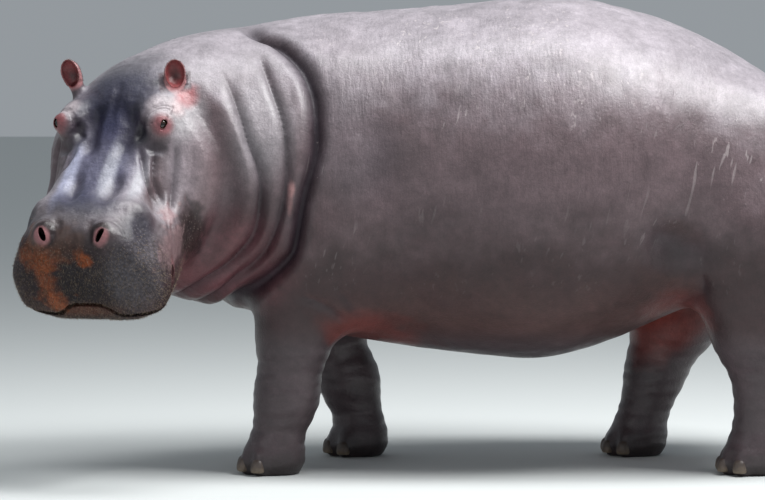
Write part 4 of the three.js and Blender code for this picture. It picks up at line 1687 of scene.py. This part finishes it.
@dataclass(frozen=True)
class BristleHorn:
    """Stiff bristles of keratin, a little glossy, each in its own shade."""

    roughness: float = 0.42
    ior: float = 1.55
    streak: float = 6.0  # mm along a paler stretch
    pale: str = "#8a7a68"

    def material(self) -> bpy.types.Material:
        """Makes the bristles' material.

        Returns:
            The material.
        """
        made, add = blank_material("keratin_bristle")
        place = add("TexCoord").outputs["Object"]
        base = add("Attribute", attribute_name="bristle_colour")
        streaks = add("TexNoise", {"Vector": place, "Scale": per_metre(self.streak)})
        colour = add("Mix", {0: streaks, 6: base, 7: self.pale}, data_type="RGBA", blend_type="SOFT_LIGHT")
        surface = {"Base Color": colour, "Roughness": self.roughness, "IOR": self.ior}
        add("OutputMaterial", {"Surface": add("BsdfPrincipled", surface)})
        return made


@dataclass(frozen=True)
class WetEye:
    """A living eye: a dark brown iris with a level pupil, reddish white round it, under a clear wet film."""

    roughness: float = 0.16
    ior: float = 1.38  # cornea and tears
    film: float = 1.0
    film_roughness: float = 0.03
    fleck: float = 3.0  # mm across a fleck of the iris
    fleck_depth: float = 0.10
    pupil: str = "#070505"
    pupil_edge: tuple[float, float] = (0.20, 0.26)
    # From the pupil's middle out over the iris, its dark rim and the reddish white.
    rings: tuple[tuple[float, str], ...] = (
        (0.0, "#1c110b"),
        (0.34, "#33200f"),
        (0.52, "#3d2615"),
        (0.62, "#1d130e"),
        (0.76, "#6b4640"),
        (0.95, "#96655f"),
    )

    def material(self) -> bpy.types.Material:
        """Makes the eye's material.

        It reads how far each point is from the pupil's middle over the eye's radius: X is the distance, and
        Y is the same with a level pupil.

        Returns:
            The material.
        """
        made, add = blank_material("living_eye")
        place = add("TexCoord").outputs["Object"]
        at = add("Attribute", attribute_name="eye_place").outputs["Vector"]
        away = add("SeparateXYZ", {"Vector": at}).outputs
        flecks = add("TexNoise", {"Vector": place, "Scale": per_metre(self.fleck), "Detail": 4.0})
        wander = add("Math", {0: flecks, 1: self.fleck_depth, 2: away["X"]}, operation="MULTIPLY_ADD")
        iris = add("ValToRGB", {"Fac": wander}, self.rings)
        inner, outer = self.pupil_edge
        outside = add("MapRange", {"Value": away["Y"], 1: inner, 2: outer})
        surface = {
            "Base Color": add("Mix", {0: outside, 6: self.pupil, 7: iris}, data_type="RGBA"),
            "Roughness": self.roughness,
            "IOR": self.ior,
            "Coat Weight": self.film,
            "Coat Roughness": self.film_roughness,
        }
        add("OutputMaterial", {"Surface": add("BsdfPrincipled", surface)})
        return made


@dataclass(frozen=True)
class HoofHorn:
    """A toenail of dark horn, grown in lines from root to tip and worn pale at its edge."""

    roughness: float = 0.48
    ior: float = 1.55
    growth_line: float = 3.2  # mm between lines; the real ones are about 1, too fine to show
    line_depth: float = 0.5  # mm
    blotch: float = 12.0  # mm
    blotch_rise: float = 0.03  # metres that a blotch lifts the colours' edges by
    worn: tuple[float, float] = (0.015, 0.075)  # metres above the floor, from the worn edge to the root
    tones: tuple[tuple[float, str], ...] = (
        (0.0, "#8d7d6a"),
        (0.25, "#6f6152"),
        (0.6, "#4b403a"),
        (1.0, "#3a302c"),
    )

    def material(self) -> bpy.types.Material:
        """Makes the nails' material.

        Returns:
            The material.
        """
        made, add = blank_material("toenail_horn")
        place = add("TexCoord").outputs["Object"]
        height = add("SeparateXYZ", {"Vector": place}).outputs["Z"]
        blotches = add("TexNoise", {"Vector": place, "Scale": per_metre(self.blotch), "Detail": 5.0})
        level = add("Math", {0: blotches, 1: self.blotch_rise, 2: height}, operation="MULTIPLY_ADD")
        low, high = self.worn
        colour = add("ValToRGB", {"Fac": add("MapRange", {"Value": level, 1: low, 2: high})}, self.tones)
        # The wave texture repeats 20 times in a unit of its scale.
        scale = per_metre(self.growth_line) / 20
        waves = {"Vector": place, "Scale": scale, "Distortion": 3.0, "Detail": 2.0}
        lines = add("TexWave", waves, bands_direction="Z").outputs["Fac"]
        bump = add("Bump", {"Height": lines, "Distance": self.line_depth * MM, "Strength": 0.6})
        surface = {"Base Color": colour, "Roughness": self.roughness, "IOR": self.ior, "Normal": bump}
        add("OutputMaterial", {"Surface": add("BsdfPrincipled", surface)})
        return made


# ---------------- meshes


def mesh_piece(
    name: str,
    vertices: Array,
    faces: Sequence[Array],
    material: bpy.types.Material,
    uv: Array | None = None,
) -> bpy.types.Object:
    """Makes an object from arrays.

    Args:
        name: The piece's name.
        vertices: Places in metres in the part's frame.
        faces: One array of corner numbers for each size of face.
        material: What it is made of.
        uv: A place on the bake's map for each face corner.

    Returns:
        The object, linked to the scene.
    """
    corners = np.concatenate([f.ravel() for f in faces]).astype(np.int32)
    sizes = np.concatenate([np.full(len(f), f.shape[1]) for f in faces])
    mesh = bpy.data.meshes.new(name)
    mesh.vertices.add(len(vertices))
    mesh.vertices.foreach_set("co", np.ascontiguousarray(vertices, np.float32).ravel())
    mesh.loops.add(len(corners))
    mesh.loops.foreach_set("vertex_index", corners)
    mesh.polygons.add(len(sizes))
    mesh.polygons.foreach_set("loop_start", np.concatenate([[0], np.cumsum(sizes)[:-1]]).astype(np.int32))
    mesh.update(calc_edges=True)
    mesh.shade_smooth()
    if uv is not None:
        places = np.ascontiguousarray(uv, np.float32).ravel()
        mesh.uv_layers.new(name="OFBake").data.foreach_set("uv", places)
    mesh.materials.append(material)
    piece = bpy.data.objects.new(name, mesh)
    bpy.context.scene.collection.objects.link(piece)
    return piece


def paint_points(piece: bpy.types.Object, name: str, values: Array) -> None:
    """Stores a colour on each vertex.

    Args:
        piece: The object.
        name: The colours' name.
        values: Three linear values for each vertex.
    """
    colours = np.ones((len(values), 4), np.float32)
    colours[:, :3] = values
    piece.data.color_attributes.new(name, "FLOAT_COLOR", "POINT").data.foreach_set("color", colours.ravel())


def normals_of(vertices: Array, faces: Sequence[Array]) -> Array:
    """Works out the smooth normal at each vertex, weighted by area.

    Args:
        vertices: Places.
        faces: Triangles and quads.

    Returns:
        The normals, of length 1.
    """
    total = np.zeros_like(vertices)
    for f in faces:
        corners = vertices[f]
        other = corners[:, -1] - corners[:, f.shape[1] - 3]
        across = np.cross(corners[:, -2] - corners[:, 0], other)
        for corner in f.T:
            for axis in range(3):
                total[:, axis] += np.bincount(corner, across[:, axis], len(vertices))
    return total / np.maximum(np.linalg.norm(total, axis=1, keepdims=True), 1e-12)


@dataclass(frozen=True)
class Origin:
    """Where the animal's own frame lies in the part's frame."""

    shift: tuple[float, float, float]  # mm

    @classmethod
    def from_frame(cls, body: Body) -> Origin:
        """Finds it from the left eye, whose place is known in both frames.

        Args:
            body: The animal.

        Returns:
            The shift between the frames.
        """
        low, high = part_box("eye_left")
        middle = (np.array(low) + np.array(high)) / 2 / MM
        eye = carried(body.head.frame, np.array([body.head.eye], float))[0]
        shift = middle - eye
        return cls((float(shift[0]), float(shift[1]), 0.0))

    def place(self, p: Array) -> Array:
        """Turns places in mm in the animal's frame into metres in the part's."""
        return (p + np.array(self.shift)) * MM


class Region(Enum):
    """Parts of the hide that are laid out apart on the bake's map, each at its own scale."""

    BODY = 0
    HEAD = 1
    HOLES = 2
    EAR_LEFT = 3
    EAR_RIGHT = 4
    LEG_0 = 5
    LEG_1 = 6
    LEG_2 = 7
    LEG_3 = 8
    TAIL = 9


@dataclass(frozen=True)
class HideMap:
    """Lays the hide out flat for the bake: six flat views of each region, packed in rows."""

    body: Body
    margin: float = 14.0  # mm between charts
    scale: tuple[float, ...] = (1.0, 1.9, 1.6, 2.6, 2.6, 1.1, 1.1, 1.1, 1.1, 1.0)  # by region

    def regions(self, middle: Array, depth: Array) -> Array:
        """Says which region each face belongs to.

        Args:
            middle: The faces' middles in the animal's frame.
            depth: How far each is outside the animal's flesh without its holes.

        Returns:
            The regions' numbers.
        """
        head = np.linalg.inv(self.body.head.frame)
        local = carried(head, middle)
        found = np.zeros(len(middle), int)
        for i, leg in enumerate(self.body.legs):
            x, y = leg.foot
            near = np.hypot(middle[:, 0] - x, middle[:, 1] - y) < 330
            found[near & (middle[:, 2] < 430)] = Region.LEG_0.value + i
        found[(middle[:, 0] > 930) & (middle[:, 2] < 1010)] = Region.TAIL.value
        on_head = (local[:, 0] > -230) & (middle[:, 1] < -150) & (middle[:, 0] < -1020)
        found[on_head] = Region.HEAD.value
        for i, ear in enumerate(self.body.head.ears):
            q = carried(np.linalg.inv(ear.frame), local)
            near = (np.abs(q[:, 0]) < 40) & (np.abs(q[:, 1]) < 50) & (q[:, 2] > 6) & (q[:, 2] < 130)
            found[near & on_head & (depth > 4)] = Region.EAR_LEFT.value + i
        found[on_head & (depth < -7)] = Region.HOLES.value
        return found

    def lay_out(self, vertices: Array, faces: Sequence[Array], depth: Array) -> Array:
        """Gives each face corner its place on the map.

        Args:
            vertices: Places in mm in the animal's frame.
            faces: Triangles and quads.
            depth: How far each vertex is outside the animal's flesh without its holes.

        Returns:
            A place from 0 to 1 for each face corner.
        """
        head = np.linalg.inv(self.body.head.frame)[:3, :3]
        axes = {r.value: np.eye(3) for r in Region}
        for region in (Region.HEAD, Region.HOLES):
            axes[region.value] = head
        for i, ear in enumerate(self.body.head.ears):
            axes[Region.EAR_LEFT.value + i] = np.linalg.inv(ear.frame)[:3, :3] @ head
        flat, chart = [], []
        for f in faces:
            corners = vertices[f]
            across = np.cross(corners[:, 2] - corners[:, 0], corners[:, -1] - corners[:, 1])
            region = self.regions(corners.mean(1), depth[f].mean(1))
            turn = np.stack([axes[r] for r in range(len(Region))])[region]
            facing = np.einsum("nij,nj->ni", turn, across)
            axis = np.abs(facing).argmax(1)
            side = facing[np.arange(len(f)), axis] > 0
            local = np.einsum("nij,nkj->nki", turn, corners)
            others = np.array([(1, 2), (0, 2), (0, 1)])[axis]
            u = np.take_along_axis(local, others[:, None, :1], 2)[..., 0]
            v = np.take_along_axis(local, others[:, None, 1:], 2)[..., 0]
            grow = np.array(self.scale)[region][:, None]
            flat.append(np.stack([u * grow, v * grow], 2).reshape(-1, 2))
            chart.append(np.repeat(region * 6 + axis * 2 + side, f.shape[1]))
        return self.pack(np.concatenate(flat), np.concatenate(chart))

    def pack(self, flat: Array, chart: Array) -> Array:
        """Packs the charts in rows, the tallest first.

        Args:
            flat: Each corner's place in its chart, in mm.
            chart: Each corner's chart.

        Returns:
            The corners' places from 0 to 1.
        """
        numbers = np.unique(chart)
        low = np.array([flat[chart == n].min(0) for n in numbers])
        size = np.array([flat[chart == n].max(0) for n in numbers]) - low + self.margin
        width = max(1.08 * math.sqrt(size.prod(1).sum()), size[:, 0].max())
        offset = np.zeros_like(low)
        x = y = row = 0.0
        for i in np.argsort(-size[:, 1]):
            if x + size[i, 0] > width:
                x, y, row = 0.0, y + row, 0.0
            offset[i] = (x, y)
            x += size[i, 0]
            row = max(row, size[i, 1])
        where = np.searchsorted(numbers, chart)
        return (flat - low[where] + offset[where] + self.margin / 2) / max(width, y + row)


# ---------------- the pieces


@dataclass
class Hide:
    """The one skin over all of the animal's flesh."""

    body: Body
    origin: Origin
    low: Point = (-1800, -1000, -30)
    high: Point = (1120, 720, 1600)
    settling: int = 2
    vertices: Array = field(default_factory=lambda: np.zeros((0, 3)))
    faces: list[Array] = field(default_factory=list)
    outward: Array = field(default_factory=lambda: np.zeros((0, 3)))
    # How much painted shade each vertex gets in folds, from 0 to 1.
    fold: Array = field(default_factory=lambda: np.zeros(0))
    uv: Array = field(default_factory=lambda: np.zeros((0, 2)))

    def zones(self) -> list[Zone]:
        """Says where the mesh is fine: the head and neck, and finest at the eyes, nostrils and ears.

        Returns:
            The zones, in the animal's frame.
        """
        head = self.body.head

        def on_head(forward: float, left: float, up: float) -> Point:
            """Turns a place in the head's frame into the animal's."""
            return tuple(carried(head.frame, np.array([[forward, left, up]], float))[0])

        zones = [Zone(on_head(60, 0, -150), 560, 2), Zone((-1000, -200, 930), 470, 2)]
        for side in (1, -1):
            zones += [Zone(on_head(0, side * 165, 5), 70, 1), Zone(on_head(440, side * 101, -25), 60, 1)]
        for ear in head.ears:
            zones.append(Zone(tuple(carried(head.frame @ ear.frame, np.array([[0, 0, 50.0]]))[0]), 85, 1))
        for leg in self.body.legs:
            zones.append(Zone((leg.foot[0] - 20, leg.foot[1], 30), 150, 2))
        return zones

    def grow(self) -> None:
        """Meshes the skin, sinks its folds into it and lays it out flat for the bake."""
        mesher = SkinMesher(self.body.shape(), self.low, self.high, self.zones())
        vertices, faces = mesher.build()
        vertices = mesher.settle(vertices, faces, self.settling)
        outward = normals_of(vertices, faces)
        sunk, self.fold = HideRelief(self.body).sink(mesher, vertices, outward)
        depth = SkinMesher(self.body.closed(), self.low, self.high, ()).measure(vertices)
        self.uv = HideMap(self.body).lay_out(vertices, faces, depth)
        self.vertices, self.faces = vertices - outward * sunk[:, None], faces
        self.outward = normals_of(self.vertices, faces)

    def build(self) -> bpy.types.Object:
        """Makes the skin's piece, with its colours.

        Returns:
            The piece.
        """
        material = WetHide().material()
        skin = mesh_piece("skin", self.origin.place(self.vertices), self.faces, material, self.uv)
        markings = Markings(self.body)
        # The hide's colours, painted light and shade included.
        paint_points(skin, "hide_colour", markings.paint(self.vertices, self.outward, self.fold))
        paint_points(skin, "hide_marks", markings.marks(self.vertices, self.outward, self.fold))
        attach(skin, ROOT)
        legs = [f"{leg.name}_{part}" for leg in self.body.legs for part in ("leg", "foot")]
        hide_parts("head", "lower_jaw", "neck", "trunk", "tail", "ear_left", "ear_right", *legs)
        return skin


@dataclass(frozen=True)
class Globe:
    """The grid of an eyeball or a nail: rings of vertices from its front to its back."""

    rings: int
    sectors: int

    def angles(self) -> tuple[Array, Array]:
        """Lays the vertices out.

        Returns:
            Each one's angle from the front, and its angle round the way to the front.
        """
        angle = np.linspace(0, math.pi, self.rings + 1)[1:-1]
        around = np.linspace(0, 2 * math.pi, self.sectors, endpoint=False)
        tilt, turn = (x.ravel() for x in np.meshgrid(angle, around, indexing="ij"))
        return np.append(tilt, (0, math.pi)), np.append(turn, (0, 0))

    def faces(self) -> list[Array]:
        """Joins the vertices up.

        Returns:
            The triangles at both ends, and the quads between the rings.
        """
        row = np.arange(self.sectors)
        following = np.roll(row, -1)
        first = np.arange(self.rings - 2)[:, None] * self.sectors
        below = first + self.sectors
        quads = np.stack([first + row, below + row, below + following, first + following], 2).reshape(-1, 4)
        last = (self.rings - 2) * self.sectors
        front = np.full_like(row, last + self.sectors)
        caps = [np.stack([front, row, following], 1), np.stack([last + following, last + row, front + 1], 1)]
        return [np.concatenate(caps), quads]


@dataclass(frozen=True)
class Eye:
    """An eyeball with its cornea, turned the way it looks."""

    name: str
    centre: Array
    gaze: Array
    radius: float = 27.4
    cornea: float = 2.2  # how far the clear front bulges
    cornea_width: float = 0.52  # radians
    grid: Globe = Globe(40, 48)

    def build(self, origin: Origin) -> bpy.types.Object:
        """Makes the eye.

        Args:
            origin: Where the animal's frame lies.

        Returns:
            The piece.
        """
        tilt, turn = self.grid.angles()
        reach = self.radius + self.cornea * np.exp(-((tilt / self.cornea_width) ** 2))
        side = np.cross((0.0, 0.0, 1.0), self.gaze)
        side /= np.linalg.norm(side)
        rise = np.cross(self.gaze, side)
        axes = np.stack([self.gaze, side, rise])
        ways = np.stack([np.cos(tilt), np.sin(tilt) * np.cos(turn), np.sin(tilt) * np.sin(turn)], 1)
        vertices = self.centre + reach[:, None] * ways @ axes
        eye = mesh_piece(self.name, origin.place(vertices), self.grid.faces(), WetEye().material())
        away = tilt / (math.pi / 2)
        flat = np.hypot(ways[:, 1] * 0.78, ways[:, 2] * 1.7)
        paint_points(eye, "eye_place", np.stack([away, flat, away * 0], 1))
        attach(eye, ROOT)
        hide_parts(self.name)
        return eye


@dataclass(frozen=True)
class Nail:
    """A short hoof-like toenail, blunt and worn at its lower edge."""

    name: str
    centre: Array  # mm in the part's frame
    ahead: Array  # the way the toe points
    out: float = 19.0
    half_width: float = 21.5
    half_height: float = 25.0
    square: float = 2.7  # the outline's roundness: 2 is an oval
    ridge: float = 0.55  # mm high
    ridges: int = 9
    grid: Globe = Globe(28, 56)

    def build(self, material: bpy.types.Material) -> bpy.types.Object:
        """Makes the nail.

        Args:
            material: Its horn.

        Returns:
            The piece.
        """
        tilt, turn = self.grid.angles()
        across, up = np.cos(turn), np.sin(turn)
        outline = (np.abs(across) ** self.square + np.abs(up) ** self.square) ** (-1 / self.square)
        away = np.sin(tilt) ** 0.8
        x = self.out * np.cos(tilt)
        y = self.half_width * away * outline * across * (1 - 0.16 * up * away)
        z = self.half_height * away * outline * up
        # The nail's front slopes, and its lower edge is worn flat.
        x += 0.12 * (self.half_height - z) * (x > 0) - 3.0
        z = np.maximum(z, -self.half_height + 5.5)
        x += self.ridge * np.sin(y / self.half_width * math.pi * self.ridges) * (x > 3) * away
        side = np.array([-self.ahead[1], self.ahead[0], 0.0])
        vertices = self.centre + x[:, None] * self.ahead + y[:, None] * side + z[:, None] * [0, 0, 1]
        nail = mesh_piece(self.name, vertices * MM, self.grid.faces(), material)
        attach(nail, ROOT)
        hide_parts(self.name)
        return nail


@dataclass(frozen=True)
class Bristles:
    """Bristles of horn that stand in the hide: tapering rods with three sides, each rooted in the skin."""

    name: str
    count: int
    length: tuple[float, float]  # mm
    thick: float  # mm at the root
    seed: int
    colours: tuple[str, ...]
    lie: Point  # the way they lie, in the head's frame if in_head
    where: Callable[[Array, Array], Array]  # how thickly they stand at places in both frames
    stand: float = 1.0  # how far they stand up against how far they lie
    stray: float = 0.35
    bend: float = 0.25
    patch: float = 0.003  # a bristle's width on the bake's map
    in_head: bool = True

    def build(self, hide: Hide, material: bpy.types.Material) -> bpy.types.Object:
        """Plants the bristles on the hide.

        Args:
            hide: The finished skin.
            material: Their horn.

        Returns:
            The piece.
        """
        chance = np.random.default_rng(self.seed)
        frame = hide.body.head.frame
        triangles, corners, first = [], [], 0
        for f in hide.faces:
            for a, b, c in ((0, 1, 2), (0, 2, 3))[: f.shape[1] - 2]:
                triangles.append(f[:, [a, b, c]])
                corners.append(first + np.arange(len(f))[:, None] * f.shape[1] + [a, b, c])
            first += f.size
        triangle, corner = np.concatenate(triangles), np.concatenate(corners)
        middle = hide.vertices[triangle].mean(1)
        local = carried(np.linalg.inv(frame), middle)
        a, b, c = (hide.vertices[triangle[:, i]] for i in range(3))
        area = np.linalg.norm(np.cross(b - a, c - a), axis=1)
        share = np.cumsum(area * self.where(middle, local))
        chosen = np.searchsorted(share, chance.random(self.count) * share[-1])
        one, two = chance.random((2, self.count, 1))
        over = one + two > 1
        one, two = np.where(over, 1 - one, one), np.where(over, 1 - two, two)
        weights = np.stack([1 - one - two, one, two], 1)
        root = (hide.vertices[triangle[chosen]] * weights).sum(1)
        outward = (hide.outward[triangle[chosen]] * weights).sum(1)
        outward /= np.linalg.norm(outward, axis=1, keepdims=True)
        place = (hide.uv[corner[chosen]] * weights).sum(1)

        lie = np.array(self.lie, float) @ (frame[:3, :3].T if self.in_head else np.eye(3))
        lie = lie + self.stray * chance.standard_normal((self.count, 3))
        lie -= outward * (lie * outward).sum(1, keepdims=True)
        way = self.stand * outward + lie
        way /= np.linalg.norm(way, axis=1, keepdims=True)
        side = np.cross(way, outward + 0.01)
        side /= np.linalg.norm(side, axis=1, keepdims=True)
        other = np.cross(way, side)
        length = chance.uniform(*self.length, (self.count, 1))
        droop = self.bend * (lie - outward * 0.3)

        around = np.arange(3) * 2 * math.pi / 3
        rings = []
        for height, girth in ((-0.12, 1.0), (0.5, 0.72)):
            centre = root + way * length * height + droop * length * max(height, 0) ** 2
            rim = side[:, None] * np.cos(around)[:, None] + other[:, None] * np.sin(around)[:, None]
            rings.append(centre[:, None] + rim * self.thick / 2 * girth)
        tip = root + way * length + droop * length
        vertices = np.concatenate([*rings, tip[:, None]], 1).reshape(-1, 3)
        start = np.arange(self.count)[:, None, None] * 7
        i, j = np.arange(3), (np.arange(3) + 1) % 3
        quads = (start + np.stack([i, j, j + 3, i + 3], 1)).reshape(-1, 4)
        ends = np.concatenate([np.stack([i + 3, j + 3, 0 * i + 6], 1), [[2, 1, 0]]])
        points = (start + ends).reshape(-1, 3)
        # Each bristle has a small patch of the map at its root's place.
        spot = [(x / 3 - 0.5, y) for y in (-0.5, 0.1) for x in (0.5, 1.5, 2.5)] + [(0.0, 0.5)]
        at = (place[:, None] + np.array(spot) * self.patch).reshape(-1, 2)
        uv = np.concatenate([at[points.ravel()], at[quads.ravel()]])
        piece = mesh_piece(self.name, hide.origin.place(vertices), [points, quads], material, uv)

        # Each bristle takes the hide's colour under its root, painted light and shade included.
        under = Markings(hide.body).paint(root, outward, np.zeros(self.count))
        hues = np.array([linear(c) for c in self.colours])
        pick = hues[chance.integers(len(hues), size=self.count)]
        shade = chance.uniform(0.75, 1.25, (self.count, 1))
        paint_points(piece, "bristle_colour", np.repeat((0.25 * under + 0.75 * pick) * shade, 7, axis=0))
        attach(piece, ROOT)
        return piece


def coat(body: Body) -> tuple[Bristles, ...]:
    """Lists the animal's tufts of bristles.

    Args:
        body: The animal.

    Returns:
        The bristles of the muzzle, the ears' rims and the tail's end.
    """

    def on_muzzle(p: Array, local: Array) -> Array:
        """Weighs the muzzle's front and the chin.

        Args:
            p: Places in the animal's frame; not used.
            local: The same places in the head's frame.

        Returns:
            How thickly bristles stand at each, from 0 to 1.
        """
        front = ramp(local[:, 0], 350, 470) * ramp(local[:, 2], -40, -110)
        chin = ramp(local[:, 0], 240, 330) * ramp(local[:, 2], -250, -300)
        return np.maximum(front, 0.8 * chin) * ramp(local[:, 2], -440, -400)

    def on_ears(p: Array, local: Array) -> Array:
        """Weighs the rims of both ears.

        Args:
            p: Places in the animal's frame.
            local: The same places in the head's frame.

        Returns:
            How thickly bristles stand at each, from 0 to 1.
        """
        total = np.zeros(len(p))
        for ear in body.head.ears:
            q = carried(np.linalg.inv(ear.frame), local)
            middle = ((q[:, 1] / 34) ** 2 + ((q[:, 2] - ear.height / 2 - 8) / 48) ** 2) ** 0.5
            near = (np.abs(q[:, 0]) < 30) & (np.abs(q[:, 1]) < 46) & (q[:, 2] > 24) & (q[:, 2] < 125)
            total += near * ramp(np.abs(middle - 1.06), 0.3, 0.1)
        return total

    def on_tail(p: Array, local: Array) -> Array:
        """Weighs the tail's end."""
        return (p[:, 0] > 975) * ramp(p[:, 2], 790, 720)

    pale = ("#b8a690", "#a3917c", "#8a7a6a", "#6b5f55")
    greyish = ("#a8928a", "#7c6a66", "#5d4f4d")
    dark = ("#2b2423", "#3c3230", "#51453f")
    return (
        Bristles("muzzle_bristles", 9000, (3.5, 9), 0.9, 5, pale, (-0.3, 0, -0.9), on_muzzle, 1.0, 0.4),
        Bristles("ear_bristles", 800, (3, 8), 0.7, 6, greyish, (0, 0, 1), on_ears, 1.0, 0.5),
        Bristles(
            "tail_bristles", 420, (35, 75), 1.5, 7, dark, (0, 0, -1), on_tail, 0.35, 0.3, in_head=False
        ),
    )


# ---------------- the studio


@dataclass(frozen=True)
class Lamp:
    """A soft rectangular light."""

    name: str
    place: Point  # metres
    aim: Point
    size: tuple[float, float]  # width and height in metres
    power: float  # watts

    def hang(self) -> None:
        """Adds the light to the scene."""
        data = bpy.data.lights.new(self.name, "AREA")
        data.shape = "RECTANGLE"
        data.size, data.size_y = self.size
        data.energy = self.power
        lamp = bpy.data.objects.new(self.name, data)
        lamp.location = self.place
        lamp.rotation_euler = (Vector(self.aim) - Vector(self.place)).to_track_quat("-Z", "Y").to_euler()
        bpy.context.scene.collection.objects.link(lamp)


@dataclass(frozen=True)
class Studio:
    """A pale floor, a pale sky and soft lights, and the camera."""

    aim: Point = (-552, 0, 688)  # mm in the animal's frame
    pitch: float = 3.5
    distance: float = 14_000
    view_width: float = 2448  # mm across the picture at the aim
    sensor: float = 36.0
    floor_size: float = 60_000
    floor_colour: str = "#cfd3d2"
    floor_roughness: float = 0.85
    sky_colour: str = "#dfe7ee"
    sky_strength: float = 0.40
    lamps: tuple[Lamp, ...] = (
        Lamp("key", (2.6, -1.5, 5.4), (-0.5, -0.1, 0.8), (3.0, 2.2), 430),
        Lamp("overhead", (-0.2, -0.3, 5.8), (-0.2, -0.1, 0.9), (3.0, 1.6), 150),
        Lamp("fill", (-5.0, -5.5, 3.0), (-0.6, 0.0, 0.8), (4.0, 3.0), 45),
    )

    def camera(self, origin: Origin) -> None:
        """Makes the camera, which looks along +Y and a little down.

        Args:
            origin: Where the animal's frame lies.
        """
        lens = bpy.data.cameras.new("camera")
        lens.sensor_width = self.sensor
        lens.lens = self.sensor * self.distance / self.view_width
        lens.clip_end = 200
        camera = bpy.data.objects.new("camera", lens)
        down = math.radians(self.pitch)
        ahead = Vector((0, math.cos(down), -math.sin(down)))
        aim = Vector(origin.place(np.array(self.aim, float)))
        camera.location = aim - ahead * self.distance * MM
        camera.rotation_euler = (math.pi / 2 - down, 0, 0)
        bpy.context.scene.collection.objects.link(camera)
        bpy.context.scene.camera = camera

    def floor(self) -> None:
        """Makes the floor."""
        half = self.floor_size / 2 * MM
        corners = np.array([(-half, -half, 0), (half, -half, 0), (half, half, 0), (-half, half, 0)])
        material, add = blank_material("matt_pale_floor")
        shader = add("BsdfPrincipled", {"Base Color": self.floor_colour, "Roughness": self.floor_roughness})
        add("OutputMaterial", {"Surface": shader})
        floor = mesh_piece("floor", corners, [np.array([[0, 1, 2, 3]])], material)

    def build(self) -> None:
        """Adds the sky, the lights and the floor."""
        scene = bpy.context.scene
        world = bpy.data.worlds.new("pale_sky")
        world.use_nodes = True
        tree = world.node_tree
        tree.nodes.clear()
        sky = wire(tree, "Background", {"Color": self.sky_colour, "Strength": self.sky_strength})
        wire(tree, "OutputWorld", {"Surface": sky})
        scene.world = world
        scene.view_settings.view_transform = "Standard"
        for lamp in self.lamps:
            lamp.hang()
        self.floor()


def main() -> None:
    """Builds the model's pieces in order."""
    logging.basicConfig(level=logging.INFO, format="%(message)s")
    body = Body()
    origin = Origin.from_frame(body)
    studio = Studio()
    studio.camera(origin)

    hide = Hide(body, origin)
    hide.grow()
    skin = hide.build()
    log.info("skin: %d vertices", len(skin.data.vertices))

    head = body.head
    turn = head.frame[:3, :3]
    for name, side in (("eye_left", 1), ("eye_right", -1)):
        mirror = np.array([1, side, 1])
        centre = carried(head.frame, np.array([head.eye], float) * mirror)[0]
        gaze = turn @ (np.array(head.gaze) * mirror)
        eye = Eye(name, centre, gaze / np.linalg.norm(gaze)).build(origin)
        log.info("%s: %d vertices", name, len(eye.data.vertices))

    horn = HoofHorn().material()
    for leg in body.legs:
        for number, angle in enumerate(leg.toe_angles, 1):
            name = f"{leg.name}_nail_{number}"
            low, high = (np.array(corner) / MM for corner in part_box(name))
            a = math.radians(angle)
            Nail(name, (low + high) / 2, np.array([-math.cos(a), math.sin(a), 0.0])).build(horn)
        log.info("%s: %d nails", leg.name, len(leg.toe_angles))

    bristle = BristleHorn().material()
    for tuft in coat(body):
        piece = tuft.build(hide, bristle)
        log.info("%s: %d bristles", piece.name, tuft.count)

    studio.build()
    log.info("the model is done")


if __name__ == "__main__":
    main()
